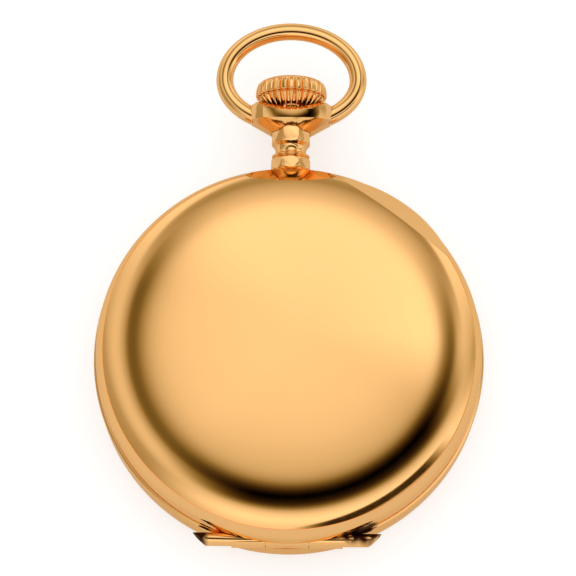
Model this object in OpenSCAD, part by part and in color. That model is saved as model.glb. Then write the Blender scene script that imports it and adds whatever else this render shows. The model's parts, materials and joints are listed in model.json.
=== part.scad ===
// Full hunter pocket watch, lying on its back cover.
// X to the right and Y towards the pendant, seen from the front; Z out of the front cover.
// The origin is the centre of the back cover's flat resting face.
// Heights named "h" inside the modules are counted from the winding stem's axis.

/* [Case] */
// Radius over the belt, the widest line of the case band
case_r = 26; // [25:0.5:30]
// Height of the belt that shows between the covers
belt_h = 1; // [0.8:0.1:1.4]
// How far the covers' rims stand back from the belt
rim_step = 0.35; // [0.2:0.05:0.6]
// Width from the rim's side to the crease of the front dome
crease_in = 0.7; // [0.4:0.1:1.2]
// Height of the front crease above the stem's axis
front_crease_h = 5.2; // [5:0.1:7]
// Rise of the front dome above its crease
front_rise = 3.2; // [3:0.1:4.5]
// Depth of the back crease below the stem's axis
back_crease_h = 5; // [4.8:0.1:6.5]
// Rise of the back dome beyond its crease
back_rise = 2.6; // [2.4:0.1:3.6]
// Radius of the back cover's flat resting face
rest_r = 8; // [6:0.5:12]
// Wall of the front and back covers
cover_wall = 0.65; // [0.5:0.05:0.8]
// Gap between a cover's rim and the band inside it
cover_fit = 0.15; // [0.12:0.01:0.3]
// Seam between a cover's edge and the belt
seam = 0.06; // [0.05:0.01:0.15]
// Height of the band's collars above the belt's centre
collar_h = 3; // [2.8:0.1:3.4]
// Wall of the collars
collar_wall = 1.2; // [1:0.1:1.4]
// Thickness of the inner dust cover
cuvette_wall = 0.45; // [0.35:0.05:0.6]

/* [Hinges] */
// How far the hinge axes stand inside the belt
hinge_in = 1; // [0.6:0.1:1]
// Radius of the front hinge's barrel
front_barrel_r = 0.9; // [0.8:0.05:1]
// Radius of the back hinge's barrel
back_barrel_r = 0.7; // [0.6:0.05:0.8]
// Half length of the front hinge along its inner side
hinge_half = 12.6; // [11:0.2:14]
// Half length of the back hinge
back_hinge_half = 7.4; // [6:0.2:9]
// Length of the cover's middle knuckle
knuckle_len = 5.7; // [4:0.1:7]
// Radius of the hinge pins
hinge_pin_r = 0.35; // [0.3:0.01:0.4]
// Running clearance of the hinges
hinge_fit = 0.05; // [0.03:0.01:0.08]
// Gap between neighbouring knuckles
knuckle_gap = 0.06; // [0.05:0.01:0.1]

/* [Opening lip] */
// Direction of the lip, in degrees from the right-hand side
lip_angle = 55; // [30:1:70]
// Half of the lip's arc in degrees
lip_half = 20; // [10:1:25]
// How far the lip stands out from the rim
lip_out = 0.8; // [0.5:0.1:1.1]

/* [Pendant and bow] */
// Distance of the bow's pivots from the belt
bow_pivot_out = 8.3; // [8:0.1:10]
// Half width of the bow on its wire's centre line
bow_half_w = 8.95; // [8.6:0.05:11]
// Height of the bow above its widest line
bow_up = 6.9; // [6.5:0.1:9]
// Drop of the bow's oval below its widest line
bow_down = 6.15; // [6:0.05:7]
// Distance of the bow's widest line from its pivot
bow_wide_y = 4.8; // [4.4:0.1:5.4]
// Radius of the bow's wire
bow_wire_r = 1.15; // [0.9:0.05:1.25]
// Radius of the pins on the bow's ends
bow_pin_r = 0.5; // [0.4:0.05:0.6]
// Half width of the pendant's head
head_half_w = 5.3; // [5.2:0.1:5.6]
// Half depth of the pendant's head
head_half_d = 3.8; // [3.6:0.1:4.2]
// Radius of the neck at its beads
neck_r = 2.8; // [2.6:0.05:3]
// Distance of the neck's flats from its middle
neck_flat_r = 2.64; // [2.5:0.02:2.8]
// Radius of the foot that passes the covers' rims
foot_r = 2.2; // [2:0.1:2.3]
// Radius of the hole through the pendant
neck_bore_r = 1.6; // [1.5:0.05:1.7]

/* [Crown and stem] */
// Largest radius of the crown
crown_r = 4.75; // [4.4:0.05:5]
// Height of the crown
crown_h = 4.4; // [4.2:0.1:5.2]
// Number of the crown's flutes
crown_flutes = 28; // [20:1:32]
// Depth of the flutes
flute_depth = 0.42; // [0.2:0.01:0.5]
// Travel of the crown when it is pressed to open the case
push_travel = 0.6; // [0.4:0.1:0.8]
// Travel of the stem when it is pulled to set the hands
pull_travel = 0.9; // [0.6:0.1:1]
// Radius of the winding stem
stem_r = 0.85; // [0.75:0.05:0.9]
// Running clearance of the stem
stem_fit = 0.05; // [0.03:0.01:0.1]

/* [Glass and dial] */
// How far the dial's edge stands inside the plate's edge
dial_in = 0.2; // [0.1:0.1:1]
// Thickness of the dial
dial_t = 0.6; // [0.4:0.05:0.7]
// Height of the dial's face above the stem's axis
dial_h = 3; // [2.9:0.05:3.2]
// How far the crystal reaches beyond the dial's edge
crystal_over = 1; // [0.6:0.1:1.2]
// Thickness of the crystal
crystal_t = 0.8; // [0.6:0.05:1]
// Rise of the crystal's dome
crystal_rise = 1; // [0.6:0.1:1.3]
// Length of the minute hand from its centre
minute_len = 17; // [14:0.5:18]
// Length of the hour hand from its centre
hour_len = 11.6; // [9:0.2:12.5]
// Length of the seconds hand from its centre
seconds_len = 4.2; // [3:0.1:4.6]

/* [Movement] */
// Width from the belt to the movement's edge
movement_in = 4.4; // [4.3:0.05:4.6]
// Thickness of the main plate
plate_t = 2.2; // [2.1:0.05:2.4]
// Gap between the main plate and the bridges
train_gap = 2.1; // [2.1:0.05:2.3]
// Thickness of the bridges
bridge_t = 1.1; // [1:0.05:1.2]
// Gear module of the barrel and the centre pinion
barrel_m = 0.21; // [0.205:0.001:0.212]
// Gear module of the centre wheel and the third pinion
centre_m = 0.17; // [0.168:0.001:0.172]
// Gear module of the third wheel and the fourth pinion
third_m = 0.145; // [0.143:0.001:0.147]
// Gear module of the fourth wheel and the escape pinion
fourth_m = 0.13; // [0.128:0.001:0.132]
// Gear module of the crown wheel and the ratchet wheel
winding_m = 0.28; // [0.275:0.001:0.284]
// Radius of the escape wheel over its teeth
escape_r = 3.92; // [3.8:0.02:4]
// Radius of the balance over its rim
balance_r = 6.8; // [6.2:0.1:6.9]
// Radius of the balance spring's outer coil
hairspring_r = 3.9; // [3.4:0.1:4.2]
// Number of the balance spring's coils
hairspring_turns = 6; // [4:1:6]
// Number of the mainspring's coils
mainspring_turns = 7; // [5:1:8]
// Side clearance of the movement's moving pieces
slack = 0.06; // [0.04:0.01:0.08]
// Radius of the wheels' pivots
pivot_r = 0.14; // [0.1:0.01:0.16]
// Radius of the bridge screws' heads
screw_r = 1; // [0.8:0.05:1.1]

/* [Hidden] */

mid_z = back_crease_h + back_rise;
hinge_y = case_r - hinge_in;
bow_pivot_y = case_r + bow_pivot_out;
rim_r = case_r - rim_step;
rim_in_r = rim_r - cover_wall;
collar_r = rim_in_r - cover_fit;
collar_in_r = collar_r - collar_wall;
front_crease_r = rim_r - crease_in;
front_pin_h = front_barrel_r - 0.15;
back_pin_h = -back_barrel_r - 0.2;
rim_low_h = belt_h / 2 + seam;
// The movement is drawn with a plate of this radius and scaled in its plane to fit the case.
plate_r = 21.6;
seat_r = case_r - movement_in;
calibre_k = seat_r / plate_r;
dial_r = plate_r - dial_in;
dial_edge_r = dial_r * calibre_k;
crystal_r = dial_edge_r + crystal_over;
stem_way_r = stem_r * max(calibre_k, 1) + stem_fit;
cup_top_y = bow_pivot_y + 1.6;
crown_y = bow_pivot_y + 0.2;
cup_gap = 0.1;
gold = [0.93, 0.68, 0.29];
steel = [0.72, 0.73, 0.75];
blued = [0.12, 0.18, 0.42];
brass = [0.85, 0.68, 0.36];
nickel = [0.80, 0.80, 0.78];
ruby = [0.72, 0.08, 0.22];
$fn = 96;

// Lifts a piece whose heights are counted from the stem's axis.
module lift() {
    translate([0, 0, mid_z]) children();
}

// Brings a piece of the movement to its size and height.
module calibre() {
    lift() scale([calibre_k, calibre_k, 1]) children();
}

// A straight round piece along Y, from its near end to its far end, turned clear of the middle plane.
facet_turn = 22;

module along_y(y0, y1, r) {
    translate([0, y0, 0]) rotate([-90, facet_turn, 0]) cylinder(r = r, h = y1 - y0);
}

// A straight round piece along X, centred on the middle plane.
module along_x(len, r) {
    rotate([0, 90, 0]) cylinder(r = r, h = len, center = true);
}

// A profile turned around the Y axis: its points are [radius, place along Y].
module turned_y(points, facets = 96) {
    rotate([-90, 0, 0]) rotate_extrude($fn = facets) polygon(points);
}

// A ring between two heights.
module ring(r_out, r_in, low, high) {
    translate([0, 0, low]) linear_extrude(high - low) difference() {
        circle(r_out);
        circle(r_in);
    }
}

// Height of a dome above its crease at radius r, for a crease radius and a rise.
function dome(r, crease, rise) = rise * (0.45 * (1 - pow(r / crease, 2)) + 0.55 * (1 - pow(r / crease, 8)));

// Case

dome_steps = 18;

// Half section of a domed cover, its outer side first: [radius, height away from the belt].
function cover_outer(crease_h, rise, flat_r) = [
    for (i = [0:dome_steps]) let (r = flat_r + (front_crease_r - flat_r) * sin(90 * i / dome_steps))
        [r, crease_h + dome(r - flat_r, front_crease_r - flat_r, rise)]];

function cover_inner(crease_h, rise, flat_r) = [
    for (i = [dome_steps:-1:0]) let (r = flat_r + (rim_in_r - cover_wall - flat_r) * sin(90 * i / dome_steps))
        [r, crease_h + dome(r - flat_r, front_crease_r - flat_r, rise) - cover_wall]];

function rim_side(crease_h) = [[rim_r - 0.42, crease_h - 0.06], [rim_r - 0.16, crease_h - 0.24],
    [rim_r - 0.02, crease_h - 0.6], [rim_r + 0.07, crease_h * 0.62], [rim_r + 0.05, crease_h * 0.35],
    [rim_r, rim_low_h + 0.12], [rim_r - 0.08, rim_low_h], [rim_in_r, rim_low_h],
    [rim_in_r, crease_h - 1.1]];

module cover_shell(crease_h, rise, flat_r) {
    rotate_extrude() polygon(concat(flat_r > 0 ? [[0, crease_h + rise]] : [],
        cover_outer(crease_h, rise, flat_r), rim_side(crease_h), cover_inner(crease_h, rise, flat_r),
        flat_r > 0 ? [[0, crease_h + rise - cover_wall]] : []));
}

// Barrel of the front hinge, with its ends cut along the case's edge.
module front_barrel(r) {
    slant = front_barrel_r * 1.1;
    intersection() {
        translate([0, -hinge_y, front_pin_h]) along_x(2 * hinge_half + 2, r);
        translate([0, 0, front_pin_h - r - 1]) linear_extrude(2 * r + 2)
            polygon([[-hinge_half, -hinge_y + slant], [-hinge_half + 2 * slant, -hinge_y - slant],
                [hinge_half - 2 * slant, -hinge_y - slant], [hinge_half, -hinge_y + slant]]);
    }
}

module back_barrel(r) {
    translate([0, -hinge_y, back_pin_h]) along_x(2 * back_hinge_half, r);
}

// The middle stretch of a hinge, kept or left out.
module knuckle_slab(half) {
    translate([-half, -hinge_y - 3, -4]) cube([2 * half, 6, 8]);
}

// Round notch that clears the pendant's foot.
module foot_notch(r) {
    along_y(collar_in_r - 0.5, case_r + 1, r);
}

module lip_bump() {
    rotate([0, 0, lip_angle]) intersection() {
        rotate_extrude() polygon([[rim_r - 0.2, rim_low_h + 0.05], [rim_r + lip_out, rim_low_h + 0.35],
            [rim_r + lip_out, rim_low_h + 0.75], [rim_r - 0.2, rim_low_h + 2.4]]);
        translate([rim_r + lip_out - lip_side_r, 0, -1]) cylinder(r = lip_side_r, h = 10);
    }
}

// The lip's outer side is a circle through its tip and through the rim at both of its ends.
lip_chord = rim_r * sin(lip_half);
lip_rise = rim_r * (1 - cos(lip_half)) + lip_out;
lip_side_r = (pow(lip_chord, 2) + pow(lip_rise, 2)) / (2 * lip_rise);

module front_cover() {
    color(gold) lift() difference() {
        union() {
            difference() {
                union() {
                    cover_shell(front_crease_h, front_rise, 0);
                    lip_bump();
                }
                front_barrel(front_barrel_r + 2 * hinge_fit);
            }
            intersection() {
                union() {
                    front_barrel(front_barrel_r);
                    intersection() {
                        rotate_extrude() polygon([[rim_in_r, rim_low_h], [rim_r, rim_low_h],
                            [rim_r, front_pin_h + 2], [rim_in_r, front_pin_h + 2]]);
                        translate([-knuckle_len / 2, -case_r, 0]) cube([knuckle_len, 2, 4]);
                    }
                }
                knuckle_slab(knuckle_len / 2);
            }
        }
        translate([0, -hinge_y, front_pin_h]) along_x(2 * hinge_half, hinge_pin_r + hinge_fit);
        foot_notch(foot_r + cover_fit);
    }
}

module back_cover() {
    color(gold) lift() difference() {
        union() {
            difference() {
                mirror([0, 0, 1]) cover_shell(back_crease_h, back_rise, rest_r);
                back_barrel(back_barrel_r + 2 * hinge_fit);
            }
            intersection() {
                union() {
                    back_barrel(back_barrel_r);
                    intersection() {
                        rotate_extrude() polygon([[rim_in_r, -rim_low_h], [rim_r, -rim_low_h],
                            [rim_r, back_pin_h - 2], [rim_in_r, back_pin_h - 2]]);
                        translate([-knuckle_len / 2, -case_r, -4]) cube([knuckle_len, 2, 4]);
                    }
                }
                knuckle_slab(knuckle_len / 2);
            }
        }
        translate([0, -hinge_y, back_pin_h]) along_x(2 * hinge_half, hinge_pin_r + hinge_fit);
        foot_notch(foot_r + cover_fit);
        front_barrel(front_barrel_r + 2 * hinge_fit);
        nail_notch();
    }
}

// Thumbnail slot in the back cover's rim, for opening it.
module nail_notch() {
    rotate([0, 0, lip_angle]) translate([rim_r, 0, -rim_low_h]) cube([0.5, 6, 0.5], center = true);
}

// Band: a belt, two collars that the covers close over, and a ledge that carries the movement.
module band_ring() {
    ch = 0.15;
    half = belt_h / 2;
    rotate_extrude() polygon([[case_r - 0.3, -half], [case_r - 0.06, -half * 0.6], [case_r, 0],
        [case_r - 0.06, half * 0.6], [case_r - 0.3, half], [collar_r, half], [collar_r, collar_h - ch],
        [collar_r - ch, collar_h], [collar_in_r, collar_h], [collar_in_r, ledge_h], [ledge_in_r, ledge_h],
        [ledge_in_r, ledge_h - ledge_t], [collar_in_r, ledge_h - ledge_t], [collar_in_r, -collar_h],
        [collar_r - ch, -collar_h], [collar_r, ch - collar_h], [collar_r, -half]]);
}

ledge_h = 0.9;
ledge_t = 1.1;
ledge_in_r = seat_r + 0.12;

module case_band() {
    color(gold) lift() difference() {
        union() {
            difference() {
                band_ring();
                front_barrel(front_barrel_r + 2 * hinge_fit);
                back_barrel(back_barrel_r + 2 * hinge_fit);
                translate([-hinge_half - 1, -case_r - 2, -2])
                    cube([2 * hinge_half + 2, 2 + case_r - hinge_y, 4]);
            }
            difference() {
                union() {
                    front_barrel(front_barrel_r);
                    intersection() {
                        band_ring();
                        translate([-hinge_half, -hinge_y, -belt_h / 2]) cube([2 * hinge_half, 2.6, belt_h]);
                    }
                    back_barrel(back_barrel_r);
                }
                knuckle_slab(knuckle_len / 2 + knuckle_gap);
            }
            intersection() {
                band_ring();
                translate([-knuckle_len, -hinge_y + front_barrel_r + 2 * hinge_fit, -collar_h])
                    cube([2 * knuckle_len, 2, 2 * collar_h]);
            }
        }
        translate([0, -hinge_y, front_pin_h]) along_x(2 * hinge_half, hinge_pin_r + 0.01);
        translate([0, -hinge_y, back_pin_h]) along_x(2 * hinge_half, hinge_pin_r + 0.01);
        along_y(ledge_in_r - 1, case_r + 1, foot_r);
        lock_slot();
        cuvette_seat();
        for (a = spring_screw_angles) rotate([0, 0, a])
            translate([collar_in_r, 0, spring_hole_h]) along_x(1.2, spring_shank_r + 0.01);
    }
    color(gold) lift() cuvette_lugs();
}

// Slot in the front collar that the lock spring's nose works in.
module lock_slot() {
    rotate([0, 0, 90 + catch_angle])
        translate([collar_in_r - 0.5, -catch_w / 2 - catch_play, catch_h - catch_t / 2 - 0.15])
            cube([3, catch_w + 2 * catch_play, catch_t + 0.3]);
}

// Two lugs in the recess hold the ends of the dust cover's pin.
module cuvette_lugs() {
    inner = cuv_hinge_half * 0.45 + knuckle_gap;
    len = cuv_hinge_half - inner;
    for (s = [-1, 1]) translate([s * (inner + len / 2), cuv_pin_y, cuv_pin_h]) difference() {
        union() {
            along_x(len, cuv_barrel_r);
            translate([-len / 2, 0.03 - cuv_barrel_r, 0])
                cube([len, 2 * cuv_barrel_r - 0.06, cuv_seat - cuv_pin_h - collar_h + 0.02]);
        }
        along_x(len + 1, cuv_pin_r + 0.01);
    }
}

// Recess at the back collar for the dust cover's hinge.
module cuvette_seat() {
    translate([-cuv_hinge_half - 0.15, -collar_r - 0.2, -collar_h - 0.01])
        cube([2 * cuv_hinge_half + 0.3, collar_wall + 0.4, cuv_seat]);
}

catch_angle = 9;
catch_w = 2;
catch_t = 0.5;
catch_h = 1.95;
catch_play = 0.45;
cuv_hinge_half = 4;
cuv_pin_r = 0.2;
cuv_barrel_r = 0.42;
cuv_seat = 1;
cuv_pin_y = -collar_in_r - collar_wall / 2;
cuv_pin_h = -collar_h + 0.12;

module hinge_pin(len, h) {
    translate([0, -hinge_y, h]) along_x(len, hinge_pin_r);
}

module front_hinge_pin() {
    color(steel) lift() hinge_pin(2 * (hinge_half - 2.2 * front_barrel_r), front_pin_h);
}

module back_hinge_pin() {
    color(steel) lift() hinge_pin(2 * back_hinge_half, back_pin_h);
}

// Dust cover: a shallow dome that snaps over the back collar's edge and turns on its own small hinge.
module cuvette() {
    top = -collar_h - seam;
    r = collar_r - 0.35;
    color(gold) lift() difference() {
        union() {
            rotate_extrude() polygon([
                [r, top], [r, top - cuvette_wall], [r - 0.5, top - cuvette_wall - 0.25],
                for (i = [0:8]) let (q = (r - 1.2) * cos(90 * i / 8))
                    [q, top - cuvette_wall - 0.45 - 1.05 * (1 - pow(q / (r - 1.2), 2))],
                for (i = [8:-1:0]) let (q = (r - 1.6) * cos(90 * i / 8))
                    [q, top - 0.45 - 1.05 * (1 - pow(q / (r - 1.2), 2))],
                [r - 1, top]]);
            translate([0, cuv_pin_y, cuv_pin_h]) along_x(cuv_hinge_half * 0.9, cuv_barrel_r);
            translate([-cuv_hinge_half * 0.45, cuv_pin_y, top - cuvette_wall])
                cube([cuv_hinge_half * 0.9, 0.6, cuvette_wall + 0.1]);
        }
        translate([0, cuv_pin_y, cuv_pin_h]) along_x(2 * cuv_hinge_half, cuv_pin_r + 0.04);
        translate([0, cuv_pin_y, cuv_pin_h]) difference() {
            along_x(2 * cuv_hinge_half + 0.4, cuv_barrel_r + 0.12);
            along_x(cuv_hinge_half * 0.9, cuv_barrel_r + 0.2);
        }
    }
}

// Pins of the dust cover's hinge sit in two lugs of their own.
module cuvette_hinge_pin() {
    color(steel) lift() translate([0, cuv_pin_y, cuv_pin_h]) along_x(2 * cuv_hinge_half, cuv_pin_r);
}

module bezel() {
    low = collar_h;
    spigot_r = collar_in_r - 0.04;
    color(gold) lift() rotate_extrude() polygon([[dial_edge_r + 0.1, low - 0.55], [spigot_r, low - 0.55],
        [spigot_r, low], [collar_r - 0.1, low], [collar_r - 0.12, low + 0.35],
        [crystal_r + 1.1, low + 0.95], [crystal_r + 0.4, low + 1.75], [crystal_r - 0.1, low + 1.8],
        [crystal_r - 0.1, low + 1.7], [crystal_r + 0.02, low + 1.7], [crystal_r + 0.02, low + 0.85],
        [crystal_r - 0.5, low + 0.85], [dial_edge_r - 0.25, dial_h + 0.35],
        [dial_edge_r - 0.25, dial_h + 0.05], [dial_edge_r + 0.1, dial_h + 0.05]]);
}

module crystal() {
    low = collar_h + 0.87;
    rise = crystal_rise;
    color([0.9, 0.95, 1, 0.35]) lift() rotate_extrude() polygon(concat([[0, low + rise]],
        [for (i = [1:10]) let (r = crystal_r * i / 10) [r, low + rise * (1 - pow(i / 10, 2))]],
        [for (i = [10:-1:0]) let (r = crystal_r * i / 10) [r, low + crystal_t + rise * (1 - pow(i / 10, 2))]]));
}

// Pendant: a faceted neck of turned beads under a head that carries the bow.
neck_y = case_r + 0.1;

// Turned beads of the neck: part of the neck's radius, distance from the neck's foot.
neck_turning = [[0.9, 0], [0.97, 0.45], [1, 0.95], [0.97, 1.45], [0.87, 1.85], [0.83, 2], [0.88, 2.06],
    [0.905, 2.2], [0.88, 2.34], [0.78, 2.42], [0.74, 2.7], [0.73, 3], [0.78, 3.35], [0.88, 3.75],
    [0.97, 4.2], [0.95, 4.65], [0.9, 5], [0.89, 5.25], [0.92, 5.5]];

// Eight flats are filed on the beads, which leaves the waist and the thin ring round.
module neck_beads() {
    flat_r = neck_flat_r / cos(22.5);
    intersection() {
        turned_y(concat([[0, neck_y]], [for (p = neck_turning) [p[0] * neck_r, neck_y + p[1]]],
            [[0, neck_y + neck_turning[len(neck_turning) - 1][1]]]), 48);
        rotate([0, 22.5, 0]) translate([0, neck_y - 1, 0]) rotate([-90, 0, 0])
            cylinder(r1 = flat_r, r2 = flat_r * 0.93, h = 9, $fn = 8);
    }
}

module head_outline(w, d, cut) {
    polygon([[w, d * 0.42], [w - cut, d * 0.82], [w * 0.36, d], [-w * 0.36, d], [cut - w, d * 0.82],
        [-w, d * 0.42], [-w, -d * 0.42], [cut - w, -d * 0.82], [-w * 0.36, -d], [w * 0.36, -d],
        [w - cut, -d * 0.82], [w, -d * 0.42]]);
}

module head_slab(y, w, d, cut, t = 0.02) {
    translate([0, y, 0]) rotate([-90, 0, 0]) linear_extrude(t) head_outline(w, d, cut);
}

module pendant_head() {
    intersection() {
        union() {
            hull() {
                head_slab(neck_y + 5.3, neck_r * 0.89, neck_r * 0.86, 1);
                head_slab(bow_pivot_y - 1.15, head_half_w, head_half_d * 0.92, 1.6);
            }
            hull() {
                head_slab(bow_pivot_y - 1.15, head_half_w, head_half_d * 0.92, 1.6);
                head_slab(bow_pivot_y + 0.8, head_half_w, head_half_d, 1.6);
            }
            hull() {
                head_slab(bow_pivot_y + 0.8, head_half_w, head_half_d, 1.6);
                head_slab(cup_top_y, head_half_w - 1.05, head_half_d - 0.3, 1.3);
            }
        }
        saddle = 4.4;
        translate([0, cup_top_y - saddle, 0]) along_x(2 * head_half_w + 2, saddle);
    }
}

// The cup in the head follows the crown's underside, as it lies when the crown is pressed.
module crown_cup() {
    low = crown_y - push_travel;
    turned_y(concat([[0, low - 0.35], [crown_r * crown_rings[0][1] + cup_gap, low - 0.35]],
        [for (p = crown_rings) if (p[0] < crown_crease) [crown_r * p[1] + cup_gap, low + crown_h * p[0]]],
        [[crown_r + cup_gap, cup_top_y + 1], [0, cup_top_y + 1]]));
}

module pendant() {
    color(gold) lift() difference() {
        union() {
            along_y(collar_in_r + 0.02, neck_y + 0.3, foot_r - 0.02);
            neck_beads();
            pendant_head();
        }
        along_y(collar_in_r - 1, cup_top_y + 1, neck_bore_r);
        crown_cup();
        translate([0, bow_pivot_y, 0]) along_x(2 * head_half_w + 2, bow_pin_r + hinge_fit);
    }
}

// Split sleeve that is screwed into the neck and guides the stem.
module pendant_sleeve() {
    color(steel) lift() difference() {
        along_y(neck_y + 0.2, crown_y - push_travel - 0.5, neck_bore_r - 0.01);
        along_y(neck_y - 1, crown_y + 1, stem_way_r);
        translate([0, neck_y + 0.7, 0]) cube([0.3, 3, 4], center = true);
    }
}

// Bow: round wire bent to an oval, with a pin on each end that turns in the pendant's head.
bow_steps = 44;
bow_sides = 14;
bow_end_x = head_half_w + 0.06;

function bow_point(a) = let (low = sin(a) < 0)
    [bow_half_w * cos(a), bow_pivot_y + bow_wide_y + (low ? bow_down : bow_up) * sin(a), 0];

bow_end_a = -acos((bow_end_x - 0.8) / bow_half_w);

module bow_wire() {
    span = 180 - 2 * bow_end_a;
    path = [for (i = [0:bow_steps]) bow_point(bow_end_a + span * i / bow_steps)];
    rings = [for (i = [0:bow_steps])
        let (a = path[max(i - 1, 0)], b = path[min(i + 1, bow_steps)], t = (b - a) / norm(b - a),
            side = [-t[1], t[0], 0])
        for (j = [0:bow_sides - 1]) let (q = -360 * j / bow_sides)
            path[i] + bow_wire_r * (cos(q) * side + sin(q) * [0, 0, 1])];
    n = bow_sides;
    faces = concat([[for (j = [n - 1:-1:0]) j]],
        [for (i = [0:bow_steps - 1], j = [0:n - 1]) let (k = (j + 1) % n)
            [i * n + j, i * n + k, (i + 1) * n + k, (i + 1) * n + j]],
        [[for (j = [0:n - 1]) bow_steps * n + j]]);
    intersection() {
        polyhedron(rings, faces);
        difference() {
            translate([0, bow_pivot_y + 5, 0]) cube([60, 60, 60], center = true);
            translate([0, bow_pivot_y, 0]) cube([2 * bow_end_x, 4, 8], center = true);
        }
    }
}

module bow() {
    pin_in_x = crown_r * 0.8;
    pin_out_x = bow_end_x + 1.4;
    color(gold) lift() {
        bow_wire();
        for (s = [-1, 1]) translate([s * (pin_in_x + pin_out_x) / 2, bow_pivot_y, 0])
            along_x(pin_out_x - pin_in_x, bow_pin_r);
    }
}

// Crown: a flattened onion with two tiers of flutes; the upper ribs stand a little proud of the lower ones.
// Its rings: part of the crown's height, part of its radius, part of the flutes' depth.
crown_rings = [[0, 0.62, 0.6], [0.1, 0.68, 0.9], [0.21, 0.78, 1], [0.33, 0.87, 1], [0.42, 0.935, 0.85],
    [0.45, 0.955, 0.4], [0.58, 1, 0.5], [0.68, 0.99, 0.5], [0.78, 0.955, 0.5], [0.87, 0.88, 0.45],
    [0.945, 0.76, 0.35], [0.985, 0.6, 0.2]];
crown_crease = 0.5;

module fluted_body() {
    n = crown_flutes * 4;
    rings = [for (p = crown_rings) for (j = [0:n - 1])
        let (r = crown_r * p[1] - flute_depth * p[2] * pow(abs(sin(180 * crown_flutes * j / n)), 1.6))
            [r * cos(360 * j / n), crown_y + crown_h * p[0], r * sin(360 * j / n)]];
    last = len(crown_rings) - 1;
    centre = len(rings);
    faces = concat([[for (j = [n - 1:-1:0]) j]],
        [for (i = [0:last - 1], j = [0:n - 1]) let (k = (j + 1) % n)
            [i * n + j, i * n + k, (i + 1) * n + k, (i + 1) * n + j]],
        [for (j = [0:n - 1]) [last * n + j, last * n + (j + 1) % n, centre]]);
    polyhedron(concat(rings, [[0, crown_y + crown_h, 0]]),
        [for (f = faces) [for (i = [len(f) - 1:-1:0]) f[i]]]);
}

crown_bore_end = 3.6;

module crown() {
    color(gold) lift() difference() {
        fluted_body();
        along_y(crown_y - 1, crown_y + crown_bore_end, stem_way_r);
    }
}

// Winding stem: journal in the sleeve, groove for the setting lever, square for the clutch.
stem_end_y = 11.4;
groove_y = 20.35;

module stem() {
    stem_top = (crown_y + crown_bore_end - push_travel - 0.1) / calibre_k;
    color(steel) calibre() difference() {
        union() {
            along_y(clutch_y + clutch_len, stem_top, stem_r);
            translate([-square_w / 2, stem_end_y + 1.2, -square_w / 2])
                cube([square_w, clutch_y + clutch_len + 0.2 - stem_end_y - 1.2, square_w]);
            along_y(stem_end_y, stem_end_y + 1.3, 0.42);
        }
        difference() {
            along_y(groove_y - 0.35, groove_y + 0.35, stem_r + 1);
            along_y(groove_y - 1, groove_y + 1, stem_r - 0.35);
        }
    }
}

square_w = 1.1;
clutch_y = 13.4;
clutch_len = 2.6;
clutch_r = 1.62;

// Springs of the case lie in the ring-shaped space between the movement and the band.
spring_t = 0.35;
spring_r = collar_in_r - 0.08 - spring_t;
spring_low = ledge_h + 0.12;
spring_hole_h = spring_low + 0.6;
spring_shank_r = 0.34;
spring_screw_angles = [-172, 164];

module spring_arc(a0, a1, low, high) {
    rotate([0, 0, a0]) translate([0, 0, low]) rotate_extrude(angle = a1 - a0)
        translate([spring_r, 0]) square([spring_t, high - low]);
}

lift_end = -104;

module lift_spring() {
    color(blued) lift() {
        difference() {
            spring_arc(spring_screw_angles[0] - 4, lift_end, spring_low, spring_low + 1.15);
            rotate([0, 0, spring_screw_angles[0]]) translate([spring_r, 0, spring_hole_h])
                along_x(3, spring_shank_r + 0.02);
        }
        rotate([0, 0, lift_end]) translate([spring_r, -0.01, spring_low])
            cube([spring_t, 0.7, 0.7]);
    }
}

module lock_spring() {
    color(blued) lift() difference() {
        union() {
            spring_arc(90 + catch_angle - 3, spring_screw_angles[1] + 4, spring_low, spring_low + 1.2);
            rotate([0, 0, 90 + catch_angle]) translate([spring_r + 0.05, -catch_w / 2, catch_h - catch_t / 2])
                cube([collar_r - spring_r - 0.12, catch_w, catch_t]);
        }
        rotate([0, 0, spring_screw_angles[1]]) translate([spring_r, 0, spring_hole_h])
            along_x(3, spring_shank_r + 0.02);
    }
}

module spring_screws() {
    color(steel) lift() for (a = spring_screw_angles) rotate([0, 0, a]) translate([0, 0, spring_hole_h]) {
        translate([spring_r - 0.2, 0, 0]) rotate([0, 90, 0]) difference() {
            cylinder(r = 0.55, h = 0.16);
            translate([-0.7, -0.07, -0.01]) cube([1.4, 0.14, 0.09]);
        }
        translate([spring_r - 0.05, 0, 0]) rotate([0, 90, 0]) cylinder(r = spring_shank_r, h = spring_t + 0.6);
        translate([spring_r - 0.05, 0, 0]) along_x(0.1, spring_shank_r);
    }
}

// Screws that clamp the movement to the band's ledge from behind.
case_screw_angles = [-48, 212];

module case_screws() {
    color(blued) lift() for (a = case_screw_angles) rotate([0, 0, a])
        translate([ledge_in_r - 0.5, 0, ledge_h - ledge_t - 0.62]) screw(1.3, 0.6, 0.4, 0.9);
}

// Slotted screw with its head towards -Z, standing on its shank.
module screw(head_r, head_t, shank_r, shank_len) {
    difference() {
        cylinder(r = head_r, h = head_t);
        translate([-head_r - 1, -0.12, -0.01]) cube([2 * head_r + 2, 0.24, head_t * 0.45]);
    }
    translate([0, 0, head_t - 0.01]) cylinder(r = shank_r, h = shank_len);
}

// Movement: heights of its layers, from the dial towards the back.

plate_top = dial_h - dial_t;
plate_low = plate_top - plate_t;
bridge_low = plate_low - train_gap;
bridge_back = bridge_low - bridge_t;
works_h = plate_top - 1.1;

barrel_teeth = 80;
pinion_leaves = 10;
centre_teeth = 80;
third_teeth = 75;
fourth_teeth = 80;
escape_leaves = 8;
escape_teeth = 15;
ratchet_teeth = 60;
crown_teeth = 36;
contrate_teeth = 30;
winding_teeth = 15;
cannon_teeth = 12;
minute_teeth = 36;
minute_leaves = 10;
hour_teeth = 40;
setting_teeth = 26;
works_m = 0.2;

function polar(r, a) = [r * cos(a), r * sin(a)];

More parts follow.
